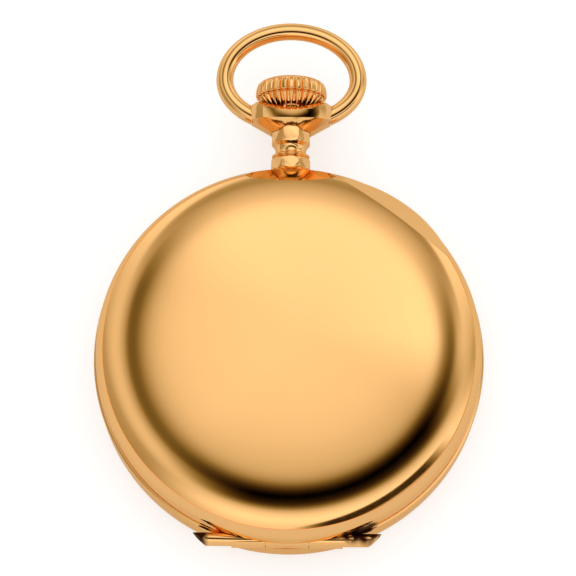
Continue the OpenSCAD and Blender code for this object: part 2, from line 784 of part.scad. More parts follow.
// Where two circles about a and b meet, on the left of the way from a to b.
function meet(a, ra, b, rb) = let (d = norm(b - a), x = (ra * ra - rb * rb + d * d) / (2 * d),
    y = sqrt(ra * ra - x * x), u = (b - a) / d) a + x * u + y * [-u[1], u[0]];

// Turn that puts a gear's gap where the tooth of its mate points, for a mate in direction a.
function in_mesh(a, mate_turn, mate_teeth, teeth) =
    a + 180 - (0.5 - (a - mate_turn) * mate_teeth / 360) * 360 / teeth;

function heading(a, b) = atan2(b[1] - a[1], b[0] - a[0]);

centre_at = [0, 0];
barrel_angle = 155;
seconds_x = 10.3;
barrel_at = polar(barrel_m * (barrel_teeth + pinion_leaves) / 2, barrel_angle);
fourth_at = [seconds_x, 0];
third_at = meet(centre_at, centre_m * (centre_teeth + pinion_leaves) / 2,
    fourth_at, third_m * (third_teeth + pinion_leaves) / 2);
escape_at = fourth_at + polar(fourth_m * (fourth_teeth + escape_leaves) / 2, -100);
pallet_at = escape_at + polar(escape_r * 1.2375, -125);
fork_len = 6;
balance_at = pallet_at + polar(fork_len, -150);
winding_reach = winding_m * (ratchet_teeth + crown_teeth) / 2;
crown_wheel_at = [0, barrel_at[1] + sqrt(pow(winding_reach, 2) - pow(barrel_at[0], 2))];
contrate_r = 3.8;
winding_pinion_y = crown_wheel_at[1] + contrate_r;
winding_pinion_r = contrate_r * winding_teeth / contrate_teeth;
setting_at = [0, 9.75];
minute_at = meet(setting_at, works_m * (setting_teeth + minute_teeth) / 2,
    centre_at, works_m * (cannon_teeth + minute_teeth) / 2);

// Levels: [low, high] of each wheel and of the leaves it meshes with.
barrel_level = [plate_low - 1.5, plate_low + 0.4];
centre_level = [bridge_low + 0.2, bridge_low + 0.45];
third_level = [plate_low - 0.65, plate_low - 0.4];
fourth_level = [plate_low - 1.2, plate_low - 0.95];
escape_level = [plate_low - 0.5, plate_low - 0.3];
fork_level = [plate_low - 0.52, plate_low - 0.27];
balance_level = [plate_low - 1.45, plate_low - 0.95];
hairspring_level = [bridge_low + 0.22, bridge_low + 0.42];

// Outline of a gear: teeth with narrowed tips on a round body.
function gear_points(teeth, m, add = 0.9, ded = 1.25, wide = 0.5, tip = 0.2) =
    let (p = 360 / teeth, r = m * teeth / 2) [for (i = [0:teeth - 1]) each [
        polar(r - ded * m, i * p - p * wide * 0.56), polar(r + add * m, i * p - p * tip * 0.5),
        polar(r + add * m, i * p + p * tip * 0.5), polar(r - ded * m, i * p + p * wide * 0.56)]];

module gear(teeth, m, level, turn, add = 0.9, ded = 1.25, wide = 0.5, tip = 0.2) {
    translate([0, 0, level[0]]) rotate([0, 0, turn]) linear_extrude(level[1] - level[0])
        polygon(gear_points(teeth, m, add, ded, wide, tip));
}

module leaves(teeth, m, level, turn) {
    gear(teeth, m, level, turn, 0.62, 1.3, 0.42, 0.16);
}

module disc(r, level) {
    translate([0, 0, level[0]]) cylinder(r = r, h = level[1] - level[0]);
}

// Windows between the spokes of a wheel.
module spokes(r_in, r_out, count, width, level, turn = 0) {
    translate([0, 0, level[0] - 0.1]) rotate([0, 0, turn]) linear_extrude(level[1] - level[0] + 0.2)
        difference() {
            circle(r_out, $fn = 48);
            circle(r_in, $fn = 24);
            for (i = [0:count - 1]) rotate([0, 0, 360 * i / count]) translate([0, -width / 2])
                square([r_out + 1, width]);
        }
}

module at(p) {
    translate([p[0], p[1], 0]) children();
}

barrel_turn = 0;
centre_pinion_turn = in_mesh(heading(barrel_at, centre_at), barrel_turn, barrel_teeth, pinion_leaves);
third_pinion_turn = in_mesh(heading(centre_at, third_at), 0, centre_teeth, pinion_leaves);
fourth_pinion_turn = in_mesh(heading(third_at, fourth_at), 0, third_teeth, pinion_leaves);
escape_pinion_turn = in_mesh(heading(fourth_at, escape_at), 0, fourth_teeth, escape_leaves);
ratchet_turn = in_mesh(heading(crown_wheel_at, barrel_at), 0, crown_teeth, ratchet_teeth);
cannon_turn = 0;
minute_turn = in_mesh(heading(centre_at, minute_at), cannon_turn, cannon_teeth, minute_teeth);
hour_turn = in_mesh(heading(minute_at, centre_at), 0, minute_leaves, hour_teeth);
setting_turn = in_mesh(heading(minute_at, setting_at), minute_turn, minute_teeth, setting_teeth);

drum_r = barrel_m * (barrel_teeth / 2 - 1.4);
drum_wall = 0.45;

module barrel() {
    color(brass) calibre() at(barrel_at) difference() {
        union() {
            gear(barrel_teeth, barrel_m, [barrel_level[1] - 0.5, barrel_level[1]], barrel_turn);
            disc(drum_r, [barrel_level[0] + 0.25, barrel_level[1] - 0.45]);
        }
        disc(drum_r - drum_wall, [barrel_level[0], barrel_level[1] - 0.3]);
        disc(0.75, [barrel_level[0], barrel_level[1] + 1]);
    }
}

module barrel_cover() {
    color(brass) calibre() at(barrel_at) ring(drum_r, 0.75, barrel_level[0], barrel_level[0] + 0.23);
}

// Flat ribbon wound in a plane: n turns from radius r0 to r1.
function ribbon(r0, r1, turns, t, steps = 24) = let (n = turns * steps)
    concat([for (i = [0:n]) polar(r0 + (r1 - r0) * i / n + t / 2, 360 * i / steps)],
        [for (i = [n:-1:0]) polar(r0 + (r1 - r0) * i / n - t / 2, 360 * i / steps)]);

spring_in_r = 1.55;
mainspring_t = 0.22;
mainspring_out_r = drum_r - drum_wall - mainspring_t / 2 - 0.03;

module mainspring() {
    color(steel) calibre() at(barrel_at) translate([0, 0, barrel_level[0] + 0.3])
        linear_extrude(barrel_level[1] - barrel_level[0] - 0.65)
            polygon(ribbon(spring_in_r, mainspring_out_r, mainspring_turns, mainspring_t));
}

arbor_square = 0.9;

module barrel_arbor() {
    color(steel) calibre() at(barrel_at) {
        disc(0.7, [barrel_level[0] + 0.24 - 0.4, barrel_level[1] + 0.42]);
        disc(spring_in_r - mainspring_t / 2 - 0.02, [barrel_level[0] + 0.3, barrel_level[1] - 0.36]);
        disc(0.7, [bridge_back + 0.05, barrel_level[0] + 0.2]);
        translate([0, 0, bridge_back - 0.17]) cube([arbor_square, arbor_square, 0.46], center = true);
    }
}

// Arbor from the plate's jewel to the bridge's jewel.
module arbor(r, level) {
    disc(r, level);
    disc(pivot_r, [bridge_low - 0.45, plate_low + 0.45]);
}

centre_pivot_r = 0.45;

module centre_wheel() {
    color(brass) calibre() {
        difference() {
            gear(centre_teeth, centre_m, centre_level, 0);
            spokes(1.5, centre_m * 37, 5, 0.7, centre_level);
        }
        leaves(pinion_leaves, barrel_m, [plate_low - 0.15, plate_low + 0.42], centre_pinion_turn);
        disc(0.75, [centre_level[0] - 0.08, plate_low - 0.1]);
        disc(centre_pivot_r, [bridge_low - 0.6, centre_level[0]]);
        disc(centre_pivot_r, [plate_low, dial_h + 1.05]);
    }
}

module third_wheel() {
    color(brass) calibre() at(third_at) {
        difference() {
            gear(third_teeth, third_m, third_level, 0);
            spokes(1.1, third_m * 34.4, 4, 0.6, third_level, 20);
        }
        leaves(pinion_leaves, centre_m, [centre_level[0] - 0.08, centre_level[1] + 0.1], third_pinion_turn);
        arbor(0.45, [centre_level[1], plate_low - 0.12]);
    }
}

module fourth_wheel() {
    color(brass) calibre() at(fourth_at) {
        difference() {
            gear(fourth_teeth, fourth_m, fourth_level, 0);
            spokes(0.95, fourth_m * 36.8, 4, 0.55, fourth_level, 45);
        }
        leaves(pinion_leaves, third_m, [third_level[0] - 0.12, third_level[1] + 0.12], fourth_pinion_turn);
        arbor(0.36, [fourth_level[0] - 0.25, plate_low - 0.1]);
        disc(seconds_arbor_r, [plate_low, dial_h + 0.42]);
    }
}

function escape_points() = [for (i = [0:escape_teeth - 1]) let (p = 360 / escape_teeth, a = i * p)
    each [polar(escape_r * 0.8, a - p * 0.12), polar(escape_r, a + p * 0.2), polar(escape_r, a + p * 0.32),
        polar(escape_r * 0.86, a + p * 0.24), polar(escape_r * 0.8, a + p * 0.16)]];

module escape_wheel() {
    color(steel) calibre() at(escape_at) {
        translate([0, 0, escape_level[0]]) rotate([0, 0, escape_rest]) difference() {
            linear_extrude(escape_level[1] - escape_level[0]) polygon(escape_points());
            translate([0, 0, -1]) linear_extrude(3) difference() {
                circle(escape_r * 0.68, $fn = 48);
                circle(0.9, $fn = 24);
                for (i = [0:3]) rotate([0, 0, 90 * i]) translate([0, -0.22]) square([escape_r, 0.44]);
            }
        }
        leaves(escape_leaves, fourth_m, [fourth_level[0] - 0.1, fourth_level[1] + 0.1], escape_pinion_turn);
        arbor(0.3, [fourth_level[0], plate_low - 0.1]);
    }
}

escape_rest = 2;

// Lever of the escapement: two arms with pallet stones, and a fork for the impulse pin.
module pallet_fork() {
    to_escape = heading(pallet_at, escape_at);
    to_balance = heading(pallet_at, balance_at);
    reach = escape_r * 0.557;
    color(steel) calibre() at(pallet_at) {
        translate([0, 0, fork_level[0]]) linear_extrude(fork_level[1] - fork_level[0]) {
            circle(0.55, $fn = 32);
            for (s = [-1, 1]) rotate([0, 0, to_escape + s * pallet_arm])
                translate([0, -0.22]) square([reach, 0.44]);
            rotate([0, 0, to_balance]) translate([0, -0.2]) square([fork_tip - 0.5, 0.4]);
            rotate([0, 0, to_balance]) difference() {
                translate([fork_tip - 0.9, -0.55]) square([0.9, 1.1]);
                translate([fork_tip - 0.5, -0.28]) square([1, 0.56]);
            }
        }
        disc(pivot_r, [fork_level[0] - 0.42, plate_low + 0.45]);
    }
    color(ruby) calibre() at(pallet_at) for (s = [-1, 1]) rotate([0, 0, to_escape + s * pallet_arm])
        translate([reach - 0.3, -s * 0.2, fork_level[0] - 0.03]) rotate([0, 0, -s * pallet_arm])
            translate([0, -0.16, 0]) cube([stone_len, 0.32, fork_level[1] - fork_level[0] + 0.06]);
}

pallet_arm = 70;
stone_len = 0.24;
impulse_r = 1.25;
impulse_pin_r = 0.2;
fork_tip = fork_len - impulse_r - impulse_pin_r - 0.08;

balance_band = 0.75;

module balance() {
    color(brass) calibre() at(balance_at) {
        ring(balance_r - 0.25, balance_r - balance_band, balance_level[0], balance_level[1]);
        intersection() {
            disc(balance_r - balance_band + 0.1, [balance_level[0] + 0.12, balance_level[1] - 0.1]);
            rotate([0, 0, 30]) cube([3 * balance_r, 0.8, 10], center = true);
        }
        disc(0.85, [balance_level[0] + 0.05, balance_level[1] - 0.05]);
        disc(0.3, [bridge_low + 0.1, plate_low - 0.05]);
        disc(pivot_r * 0.8, [bridge_low - 0.5, plate_low + 0.45]);
        for (i = [0:13]) let (a = 30 + 360 * (i + 0.5) / 14) rotate([0, 0, a])
            translate([balance_r - 0.35, 0, (balance_level[0] + balance_level[1]) / 2])
                rotate([0, 90, 0]) cylinder(r = 0.2, h = 0.35, $fn = 24);
    }
}

hairspring_t = 0.09;

module hairspring() {
    color(blued) calibre() at(balance_at) {
        translate([0, 0, hairspring_level[0]]) linear_extrude(hairspring_level[1] - hairspring_level[0])
            polygon(ribbon(0.62, hairspring_r, hairspring_turns, hairspring_t));
        ring(0.66, 0.31, hairspring_level[0], hairspring_level[1]);
    }
}

module roller() {
    to_pallet = heading(balance_at, pallet_at);
    color(steel) calibre() at(balance_at) {
        ring(impulse_r + 0.35, 0.31, fork_level[0] - 0.3, fork_level[0] - 0.08);
    }
    color(ruby) calibre() at(balance_at) rotate([0, 0, to_pallet]) translate([impulse_r, 0, fork_level[0] - 0.1])
        cylinder(r = impulse_pin_r, h = 0.35, $fn = 24);
}

// Plates and bridges

barrel_bridge_edge = [[6.3, 22], [6.3, 9.2], [-1.2, 4], [-3.2, -1.5], [-8.5, -6.5], [-22, -9], [-22, 22]];
train_bridge_edge = [[6.5, 22], [6.5, 9], [-1, 3.8], [-2.9, -1.6], [-2.6, -2.3], [4, -3.2], [7.4, -7.6],
    [12, -11.5], [17, -15], [23, -15], [23, 22]];
bridge_r = plate_r - 0.2;
foot_in_r = bridge_r - 1.9;
cock_foot_at = [-10.6, -15.2];
bridge_screws_at = [polar(bridge_r - 1.3, 112), polar(bridge_r - 1.3, 198), polar(bridge_r - 1.3, 60),
    polar(bridge_r - 1.3, -28), cock_foot_at];
lower_jewels_at = [third_at, fourth_at, escape_at, pallet_at, balance_at];
train_jewels_at = [third_at, fourth_at, escape_at];
jewel_r = 0.85;
jewel_t = 0.4;
screw_bite = 0.6;
seconds_arbor_r = 0.2;

module bridge_plate(edge) {
    intersection() {
        disc(bridge_r, [bridge_back, bridge_low]);
        translate([0, 0, bridge_back - 1]) linear_extrude(bridge_t + 2) polygon(edge);
    }
}

// Foot of a bridge along the plate's edge, between two directions.
module edge_foot(a0, a1) {
    rotate([0, 0, a0]) translate([0, 0, bridge_low - 0.2]) rotate_extrude(angle = a1 - a0)
        translate([foot_in_r, 0]) square([bridge_r - 0.08 - foot_in_r, train_gap + 0.2 - 0.01]);
}

module screw_seat(p) {
    at(p) {
        disc(screw_r + 0.08, [bridge_back - 1, bridge_back + 0.5]);
        disc(screw_r * 0.5, [bridge_back - 1, plate_low + 0.1]);
    }
}

module jewel_seats(places) {
    for (p = places) at(p) {
        disc(jewel_r, [bridge_back + 0.35, bridge_low + 1]);
        disc(jewel_r + 0.25, [bridge_back - 0.1, bridge_back + 0.36]);
    }
}

// The crown wheel turns on a hub that a low web ties to the bridge, under the wheel's teeth.
hub_low = -1.75;

module barrel_bridge() {
    color(nickel) calibre() difference() {
        union() {
            bridge_plate(barrel_bridge_edge);
            edge_foot(103, 200);
        }
        at(barrel_at) disc(0.7 + stem_fit, [bridge_back - 1, bridge_low + 1]);
        at(crown_wheel_at) disc(contrate_r + 0.75, [bridge_back - 1, bridge_low + 1]);
        translate([-winding_pinion_r - 0.4, winding_pinion_y - 1.4, bridge_low - 0.4])
            cube([2 * winding_pinion_r + 0.8, 2.8, 1]);
        for (p = [bridge_screws_at[0], bridge_screws_at[1]]) screw_seat(p);
        at(click_at) disc(click_pin_r, [bridge_back - 1, bridge_low + 1]);
        at(click_spring_at) disc(click_pin_r, [bridge_back - 1, bridge_low - 0.15]);
    }
    color(nickel) calibre() at(crown_wheel_at) {
        ring(contrate_r - 0.75, 0.5, bridge_back, hub_low);
        difference() {
            translate([-0.9, -contrate_r - 1.7, hub_low - 0.45]) cube([1.8, 3.4, 1]);
            ring(contrate_r + 0.68, contrate_r - 0.68, hub_low - 1, hub_low + 0.08);
        }
    }
}

module train_bridge() {
    color(nickel) calibre() difference() {
        union() {
            bridge_plate(train_bridge_edge);
            edge_foot(-34, 68);
        }
        disc(centre_pivot_r + 0.03, [bridge_back - 1, bridge_low + 1]);
        jewel_seats(train_jewels_at);
        for (p = [bridge_screws_at[2], bridge_screws_at[3]]) screw_seat(p);
    }
}

// Small bridge over the pallet fork's upper pivot, standing on two feet.
module pallet_bridge() {
    along = heading(pallet_at, escape_at) + 90;
    low = fork_level[0] - 0.36;
    foot_reach = 3.3;
    color(nickel) calibre() at(pallet_at) rotate([0, 0, along]) difference() {
        union() {
            translate([0, 0, low]) linear_extrude(0.26) hull() for (s = [-1, 1])
                translate([foot_reach * s, 0]) circle(0.75, $fn = 32);
            for (s = [-1, 1]) translate([foot_reach * s, 0, 0]) disc(0.66, [low + 0.1, plate_low - 0.005]);
        }
        disc(pivot_r + 0.05, [low - 1, low + 1]);
        for (s = [-1, 1]) translate([foot_reach * s, 0, 0]) disc(0.3, [low - 1, plate_low + 1]);
    }
}

module balance_cock() {
    color(nickel) calibre() difference() {
        union() {
            intersection() {
                translate([0, 0, bridge_back]) linear_extrude(bridge_t) hull() {
                    at(cock_foot_at) circle(3, $fn = 48);
                    at(balance_at) circle(2.3, $fn = 48);
                }
                disc(bridge_r, [bridge_back - 1, bridge_low + 1]);
            }
            intersection() {
                at(cock_foot_at) disc(2.9, [bridge_low - 0.2, plate_low - 0.01]);
                disc(bridge_r, [bridge_back - 1, plate_low + 1]);
            }
        }
        at(balance_at) disc(jewel_r, [bridge_back + 0.35, bridge_low + 1]);
        at(balance_at) disc(1.45, [bridge_back - 0.1, bridge_back + 0.36]);
        screw_seat(cock_foot_at);
    }
}

// Regulator: a ring around the cock's jewel, a long index tail and two pins for the balance spring.
module regulator() {
    tail = heading(balance_at, cock_foot_at);
    color(steel) calibre() at(balance_at) {
        ring(1.4, jewel_r + 0.1, bridge_back - 0.22, bridge_back + 0.3);
        rotate([0, 0, tail]) translate([0, 0, bridge_back - 0.22]) linear_extrude(0.18)
            polygon([[1.2, -0.45], [3.2, -0.22], [6.2, -0.09], [6.2, 0.09], [3.2, 0.22], [1.2, 0.45]]);
        rotate([0, 0, tail + 150]) translate([0, 0, bridge_back - 0.22]) linear_extrude(0.18)
            polygon([[1.2, -0.5], [hairspring_r + 0.9, -0.3], [hairspring_r + 0.9, 0.3], [1.2, 0.5]]);
        rotate([0, 0, tail + 150]) for (s = [-1, 1])
            translate([hairspring_r - 0.15 + s * 0.28, 0, 0])
                disc(0.09, [bridge_back - 0.1, hairspring_level[0] + 0.1]);
    }
}

// Winding works behind the barrel bridge

wheel_t = 0.55;
wheel_level = [bridge_back - 0.06 - wheel_t, bridge_back - 0.06];
click_pin_r = 0.4;
click_at = barrel_at + polar(winding_m * ratchet_teeth / 2 + 1.5, 205);
click_spring_at = barrel_at + polar(winding_m * ratchet_teeth / 2 + 1.6, 165);

module sunk_screw(p, head_r, head_t, shank_r, shank_len, top) {
    at(p) translate([0, 0, top]) screw(head_r, head_t, shank_r, shank_len);
}

module ratchet_wheel() {
    color(steel) calibre() at(barrel_at) difference() {
        gear(ratchet_teeth, winding_m, wheel_level, ratchet_turn, 0.8, 1.1, 0.5, 0.22);
        translate([0, 0, wheel_level[0] - 1]) linear_extrude(3) square(arbor_square + 0.04, center = true);
        disc(1.5, [wheel_level[0] - 1, wheel_level[0] + 0.2]);
    }
}

module ratchet_screw() {
    color(blued) calibre() at(barrel_at) difference() {
        disc(1.42, [wheel_level[0] - 0.15, wheel_level[0] + 0.12]);
        translate([-2, -0.13, wheel_level[0] - 0.2]) cube([4, 0.26, 0.2]);
    }
}

module crown_wheel() {
    top = winding_pinion_low;
    color(steel) calibre() at(crown_wheel_at) difference() {
        union() {
            gear(crown_teeth, winding_m, wheel_level, 0, 0.8, 1.1, 0.5, 0.22);
            ring(contrate_r + 0.45, contrate_r - 0.45, wheel_level[1] - 0.1, top - 0.15);
            for (i = [0:contrate_teeth - 1]) rotate([0, 0, 360 * (i + 0.5) / contrate_teeth + 90])
                translate([contrate_r - 0.44, -0.15, top - 0.2]) cube([0.88, 0.3, 0.42]);
        }
        disc(0.5 + 0.04, [wheel_level[0] - 1, wheel_level[1] + 1]);
        disc(1.45, [wheel_level[0] - 1, wheel_level[0] + 0.22]);
    }
}

winding_pinion_low = -winding_pinion_r - 0.05;

module crown_wheel_screw() {
    color(blued) calibre() sunk_screw(crown_wheel_at, 1.4, 0.28, 0.49, 1.2, wheel_level[0] - 0.1);
}

// Pawl that holds the ratchet wheel, and its spring.
module click() {
    a = heading(click_at, barrel_at);
    color(steel) calibre() at(click_at) {
        translate([0, 0, wheel_level[0]]) linear_extrude(wheel_t - 0.02) {
            circle(0.95, $fn = 32);
            rotate([0, 0, a + 62]) polygon([[0, -0.85], [1.7, 0.25], [1.85, 0.62], [0, 0.9]]);
        }
        disc(click_pin_r - 0.02, [wheel_level[1] - 0.1, bridge_low - 0.1]);
    }
}

module click_spring() {
    color(blued) calibre() at(click_spring_at) {
        disc(0.8, [wheel_level[0] + 0.1, wheel_level[1]]);
        disc(click_pin_r - 0.02, [wheel_level[1] - 0.1, bridge_low - 0.2]);
        a = heading(click_spring_at, click_at);
        d = norm(click_at - click_spring_at);
        translate([0, 0, wheel_level[0] + 0.1]) linear_extrude(wheel_t - 0.1)
            rotate([0, 0, a]) translate([0.3, -0.72]) square([d - 2.25, 0.2]);
    }
}

module winding_pinion() {
    y0 = winding_pinion_y - 0.68;
    len = 1.8;
    face_y = clutch_y + clutch_len + 0.02;
    color(steel) calibre() difference() {
        union() {
            translate([0, y0, 0]) rotate([-90, 0, 0]) rotate([0, 0, 90]) linear_extrude(len)
                polygon(gear_points(winding_teeth, 2 * winding_pinion_r / winding_teeth, 0.75, 1.1, 0.4, 0.18));
            along_y(face_y, y0 + 0.1, clutch_r);
            face_teeth(face_y - 0.26, 22.5);
        }
        along_y(face_y - 1, y0 + len + 1, stem_r + stem_fit);
    }
}

// Teeth on the facing ends of the winding pinion and the clutch.
module face_teeth(y, turn) {
    for (i = [0:7]) rotate([0, 45 * i + turn, 0]) translate([1.1, y, -0.15]) cube([clutch_r - 1.12, 0.28, 0.3]);
}

// Clutch: slides on the stem's square; ratchet teeth face the winding pinion.
module clutch() {
    color(steel) calibre() difference() {
        union() {
            along_y(clutch_y, clutch_y + clutch_len - 0.28, clutch_r);
            face_teeth(clutch_y + clutch_len - 0.3, 0);
        }
        difference() {
            along_y(groove_mid - 0.4, groove_mid + 0.4, clutch_r + 1);
            along_y(groove_mid - 1, groove_mid + 1, 1.0);
        }
        translate([0, clutch_y, 0])
            cube([square_w + 2 * stem_fit, 3 * clutch_len, square_w + 2 * stem_fit], center = true);
    }
}

groove_mid = clutch_y + 1.2;
lever_at = [5.2, 18.1];
yoke_at = [5.4, 11];

module setting_lever() {
    color(steel) calibre() {
        difference() {
            translate([0, 0, works_h + 0.05]) linear_extrude(0.4) {
                hull() { at(lever_at) circle(1, $fn = 32); at([3.4, 20.2]) circle(0.5, $fn = 24); }
                hull() { at([3.4, 20.2]) circle(0.5, $fn = 24); at([0, groove_y]) circle(0.42, $fn = 24); }
            }
            at(lever_at) disc(0.42, [0, 4]);
        }
        at([0, groove_y]) disc(0.25, [stem_r - 0.27, works_h + 0.2]);
    }
}

module yoke() {
    color(steel) calibre() {
        difference() {
            translate([0, 0, works_h + 0.56]) linear_extrude(0.38) {
                hull() { at(yoke_at) circle(0.9, $fn = 32); at([0.3, groove_mid]) circle(0.4, $fn = 24); }
                hull() { at(yoke_at) circle(0.9, $fn = 32); at([6.6, 15.4]) circle(0.4, $fn = 24); }
            }
            at(yoke_at) disc(0.42, [0, 4]);
        }
        at([0.3, groove_mid]) disc(0.24, [1.12, works_h + 0.7]);
    }
}

// Motion work under the dial

works_level = [works_h + 0.06, works_h + 0.34];

module setting_wheel() {
    color(steel) calibre() at(setting_at) difference() {
        gear(setting_teeth, works_m, works_level, setting_turn);
        disc(0.55, [0, 4]);
    }
}

module minute_wheel() {
    color(brass) calibre() at(minute_at) difference() {
        union() {
            gear(minute_teeth, works_m, works_level, minute_turn);
            leaves(minute_leaves, hour_m, [works_level[1] - 0.05, plate_top - 0.06], 0);
        }
        disc(0.4, [0, 4]);
    }
}

hour_m = 2 * norm(minute_at) / (minute_leaves + hour_teeth);
hour_level = [works_level[1] + 0.14, works_level[1] + 0.4];

module cannon_pinion() {
    color(steel) calibre() difference() {
        union() {
            leaves(cannon_teeth, works_m, [works_level[0], works_level[1] + 0.1], cannon_turn);
            disc(0.78, [works_level[1], dial_h + 0.72]);
            disc(0.6, [dial_h + 0.7, dial_h + 1.02]);
        }
        disc(centre_pivot_r + 0.01, [0, 9]);
    }
}

module hour_wheel() {
    color(brass) calibre() difference() {
        union() {
            gear(hour_teeth, hour_m, hour_level, hour_turn);
            disc(1.15, [hour_level[0], dial_h + 0.6]);
        }
        disc(0.78 + slack, [0, 9]);
    }
}

module minute_hand() {
    color(blued) calibre() difference() {
        translate([0, 0, dial_h + 0.74]) linear_extrude(0.16) hand_outline(minute_len, 0.9);
        disc(0.6, [0, 9]);
    }
}

module hour_hand() {
    color(blued) calibre() rotate([0, 0, hour_rest]) difference() {
        translate([0, 0, dial_h + 0.36]) linear_extrude(0.18) hand_outline(hour_len, 1.15);
        disc(1.15, [0, 9]);
    }
}

// Directions of the hands at rest: minute hand along the 12, hour hand at the 10.
hand_up = 180;
hour_rest = 60;

// Pear-shaped hand along the 12 o'clock line, which lies at a quarter turn from the pendant.
module hand_outline(len, w) {
    rotate([0, 0, hand_up]) {
        circle(w * 1.5, $fn = 48);
        polygon([[-len * 0.2, -w * 0.12], [0, -w * 0.35], [len * 0.62, -w * 0.16], [len * 0.62, w * 0.16],
            [0, w * 0.35], [-len * 0.2, w * 0.12]]);
        translate([len * 0.66, 0]) difference() {
            circle(len * 0.07, $fn = 40);
            circle(len * 0.035, $fn = 32);
        }
        polygon([[len * 0.7, -w * 0.3], [len, -0.03], [len, 0.03], [len * 0.7, w * 0.3]]);
    }
}

module seconds_hand() {
    color(blued) calibre() at(fourth_at) difference() {
        union() {
            disc(0.45, [dial_h - 0.12, dial_h + 0.3]);
            translate([0, 0, dial_h + 0.05]) linear_extrude(0.14) rotate([0, 0, hand_up])
                polygon([[-1.4, -0.14], [seconds_len, -0.04], [seconds_len, 0.04], [-1.4, 0.14]]);
        }
        disc(seconds_arbor_r, [0, 9]);
    }
}

sub_dial_r = 5;

module dial() {
    color([0.96, 0.95, 0.92]) calibre() difference() {
        union() {
            disc(dial_r, [plate_top + 0.01, dial_h]);
            for (a = [60, 300]) rotate([0, 0, a]) translate([plate_r - 2.2, 0, 0])
                disc(0.45, [plate_top - 1, plate_top + 0.1]);
        }
        at(fourth_at) disc(sub_dial_r, [dial_h - 0.15, dial_h + 1]);
        at(fourth_at) disc(0.6, [0, 9]);
        disc(1.3, [0, 9]);
    }
}

// Side screws that grip the dial's feet.
module dial_screws() {
    color(steel) calibre() for (a = [60, 300]) rotate([0, 0, a])
        translate([plate_r - 1.65, 0, plate_top - 0.6]) rotate([0, 90, 0]) difference() {
            cylinder(r = 0.45, h = 1.2);
            translate([-1, -0.08, 1.05]) cube([2, 0.16, 0.4]);
        }
}

module jewels() {
    color(ruby) calibre() {
        for (p = lower_jewels_at) at(p)
            ring(jewel_r - 0.01, (p == fourth_at ? seconds_arbor_r : pivot_r) + 0.03,
                plate_low + 0.02, plate_low + 0.4);
        for (p = concat(train_jewels_at, [balance_at])) at(p)
            ring(jewel_r - 0.01, pivot_r + 0.03, bridge_low - jewel_t - 0.2, bridge_low - 0.02);
    }
}

module bridge_screws() {
    color(blued) calibre() for (p = bridge_screws_at)
        sunk_screw(p, screw_r, 0.5, screw_r * 0.48, bridge_t + train_gap - 0.5 + screw_bite, bridge_back);
}

module main_plate() {
    color(nickel) calibre() difference() {
        union() {
            disc(plate_r, [plate_low, plate_top]);
            ring(plate_r + 0.67, plate_r - 1, ledge_h, plate_top);
        }
        plate_bores();
        works_recess();
        at(barrel_at) disc(barrel_m * barrel_teeth / 2 + 0.45, [plate_low - 1, plate_low + 0.5]);
        at(barrel_at) disc(0.7 + stem_fit, [plate_low - 1, plate_low + 1.2]);
        disc(1.5, [plate_low - 1, plate_low + 0.5]);
        along_y(10.9, plate_r + 2, stem_r + stem_fit);
        translate([-2.35, 12.5, plate_low - 1]) cube([4.7, winding_pinion_y + 1.2 - 12.5, plate_t + 2]);
        translate([-1.1, groove_y - 0.5, 0]) cube([2.4, pull_travel + 1, plate_top]);
    }
}

module plate_bores() {
    disc(centre_pivot_r + 0.04, [plate_low - 1, plate_top + 1]);
    for (p = lower_jewels_at) at(p) disc(jewel_r, [plate_low - 0.2, plate_low + 0.42]);
    at(fourth_at) disc(0.5, [plate_low, plate_top + 1]);
    for (p = lower_jewels_at) at(p) disc(pivot_r + 0.1, [plate_low, plate_low + 0.6]);
    for (a = [60, 300]) rotate([0, 0, a]) {
        translate([plate_r - 2.2, 0, 0]) disc(0.47, [plate_top - 1.1, plate_top + 1]);
        translate([plate_r - 1.66, 0, plate_top - 0.6]) rotate([0, 90, 0]) cylinder(r = 0.47, h = 4);
    }
    for (a = case_screw_angles) rotate([0, 0, a])
        translate([(ledge_in_r - 0.5) / calibre_k, 0, 0]) disc(0.41 / calibre_k, [0, 1]);
    for (p = bridge_screws_at) at(p) disc(screw_r * 0.5, [plate_low - 1, plate_low + screw_bite + 0.1]);
}

// Recess under the dial for the motion work and the setting lever.
module works_recess() {
    difference() {
        translate([0, 0, works_h]) linear_extrude(plate_t) {
            circle(hour_m * hour_teeth / 2 + 0.45);
            at(minute_at) circle(works_m * minute_teeth / 2 + 0.4);
            at(setting_at) circle(works_m * setting_teeth / 2 + 0.4);
            polygon([[-1.2, 12.4], [-1.2, plate_r + 1], [4.2, plate_r + 1], [5.6, 20.2], [7, 19.2],
                [7.8, 16], [7.2, 9.5], [4, 9]]);
        }
        at(minute_at) disc(0.36, [0, plate_top - 0.15]);
        at(setting_at) disc(0.5, [0, plate_top - 0.4]);
        at(lever_at) disc(0.38, [0, works_h + 0.5]);
        at(yoke_at) disc(0.38, [0, works_h + 1]);
    }
}

case_band();
pendant();
pendant_sleeve();
front_cover();
back_cover();
cuvette();
bezel();
crystal();
bow();
crown();
stem();
front_hinge_pin();
back_hinge_pin();
cuvette_hinge_pin();
lift_spring();
lock_spring();
spring_screws();
case_screws();
main_plate();
dial();
dial_screws();
hour_hand();
minute_hand();
seconds_hand();
barrel();
barrel_cover();
mainspring();
barrel_arbor();
centre_wheel();
third_wheel();
fourth_wheel();
escape_wheel();
pallet_fork();
balance();
hairspring();
roller();
barrel_bridge();
train_bridge();
pallet_bridge();
balance_cock();
regulator();
crown_wheel();
crown_wheel_screw();
ratchet_wheel();
ratchet_screw();
click();
click_spring();
winding_pinion();
clutch();
setting_lever();
yoke();
setting_wheel();
minute_wheel();
hour_wheel();
cannon_pinion();
jewels();
bridge_screws();
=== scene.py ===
"""Dresses the full hunter pocket watch in polished gold, glass, enamel and steel."""

import json  # noqa: E402
import math  # noqa: E402

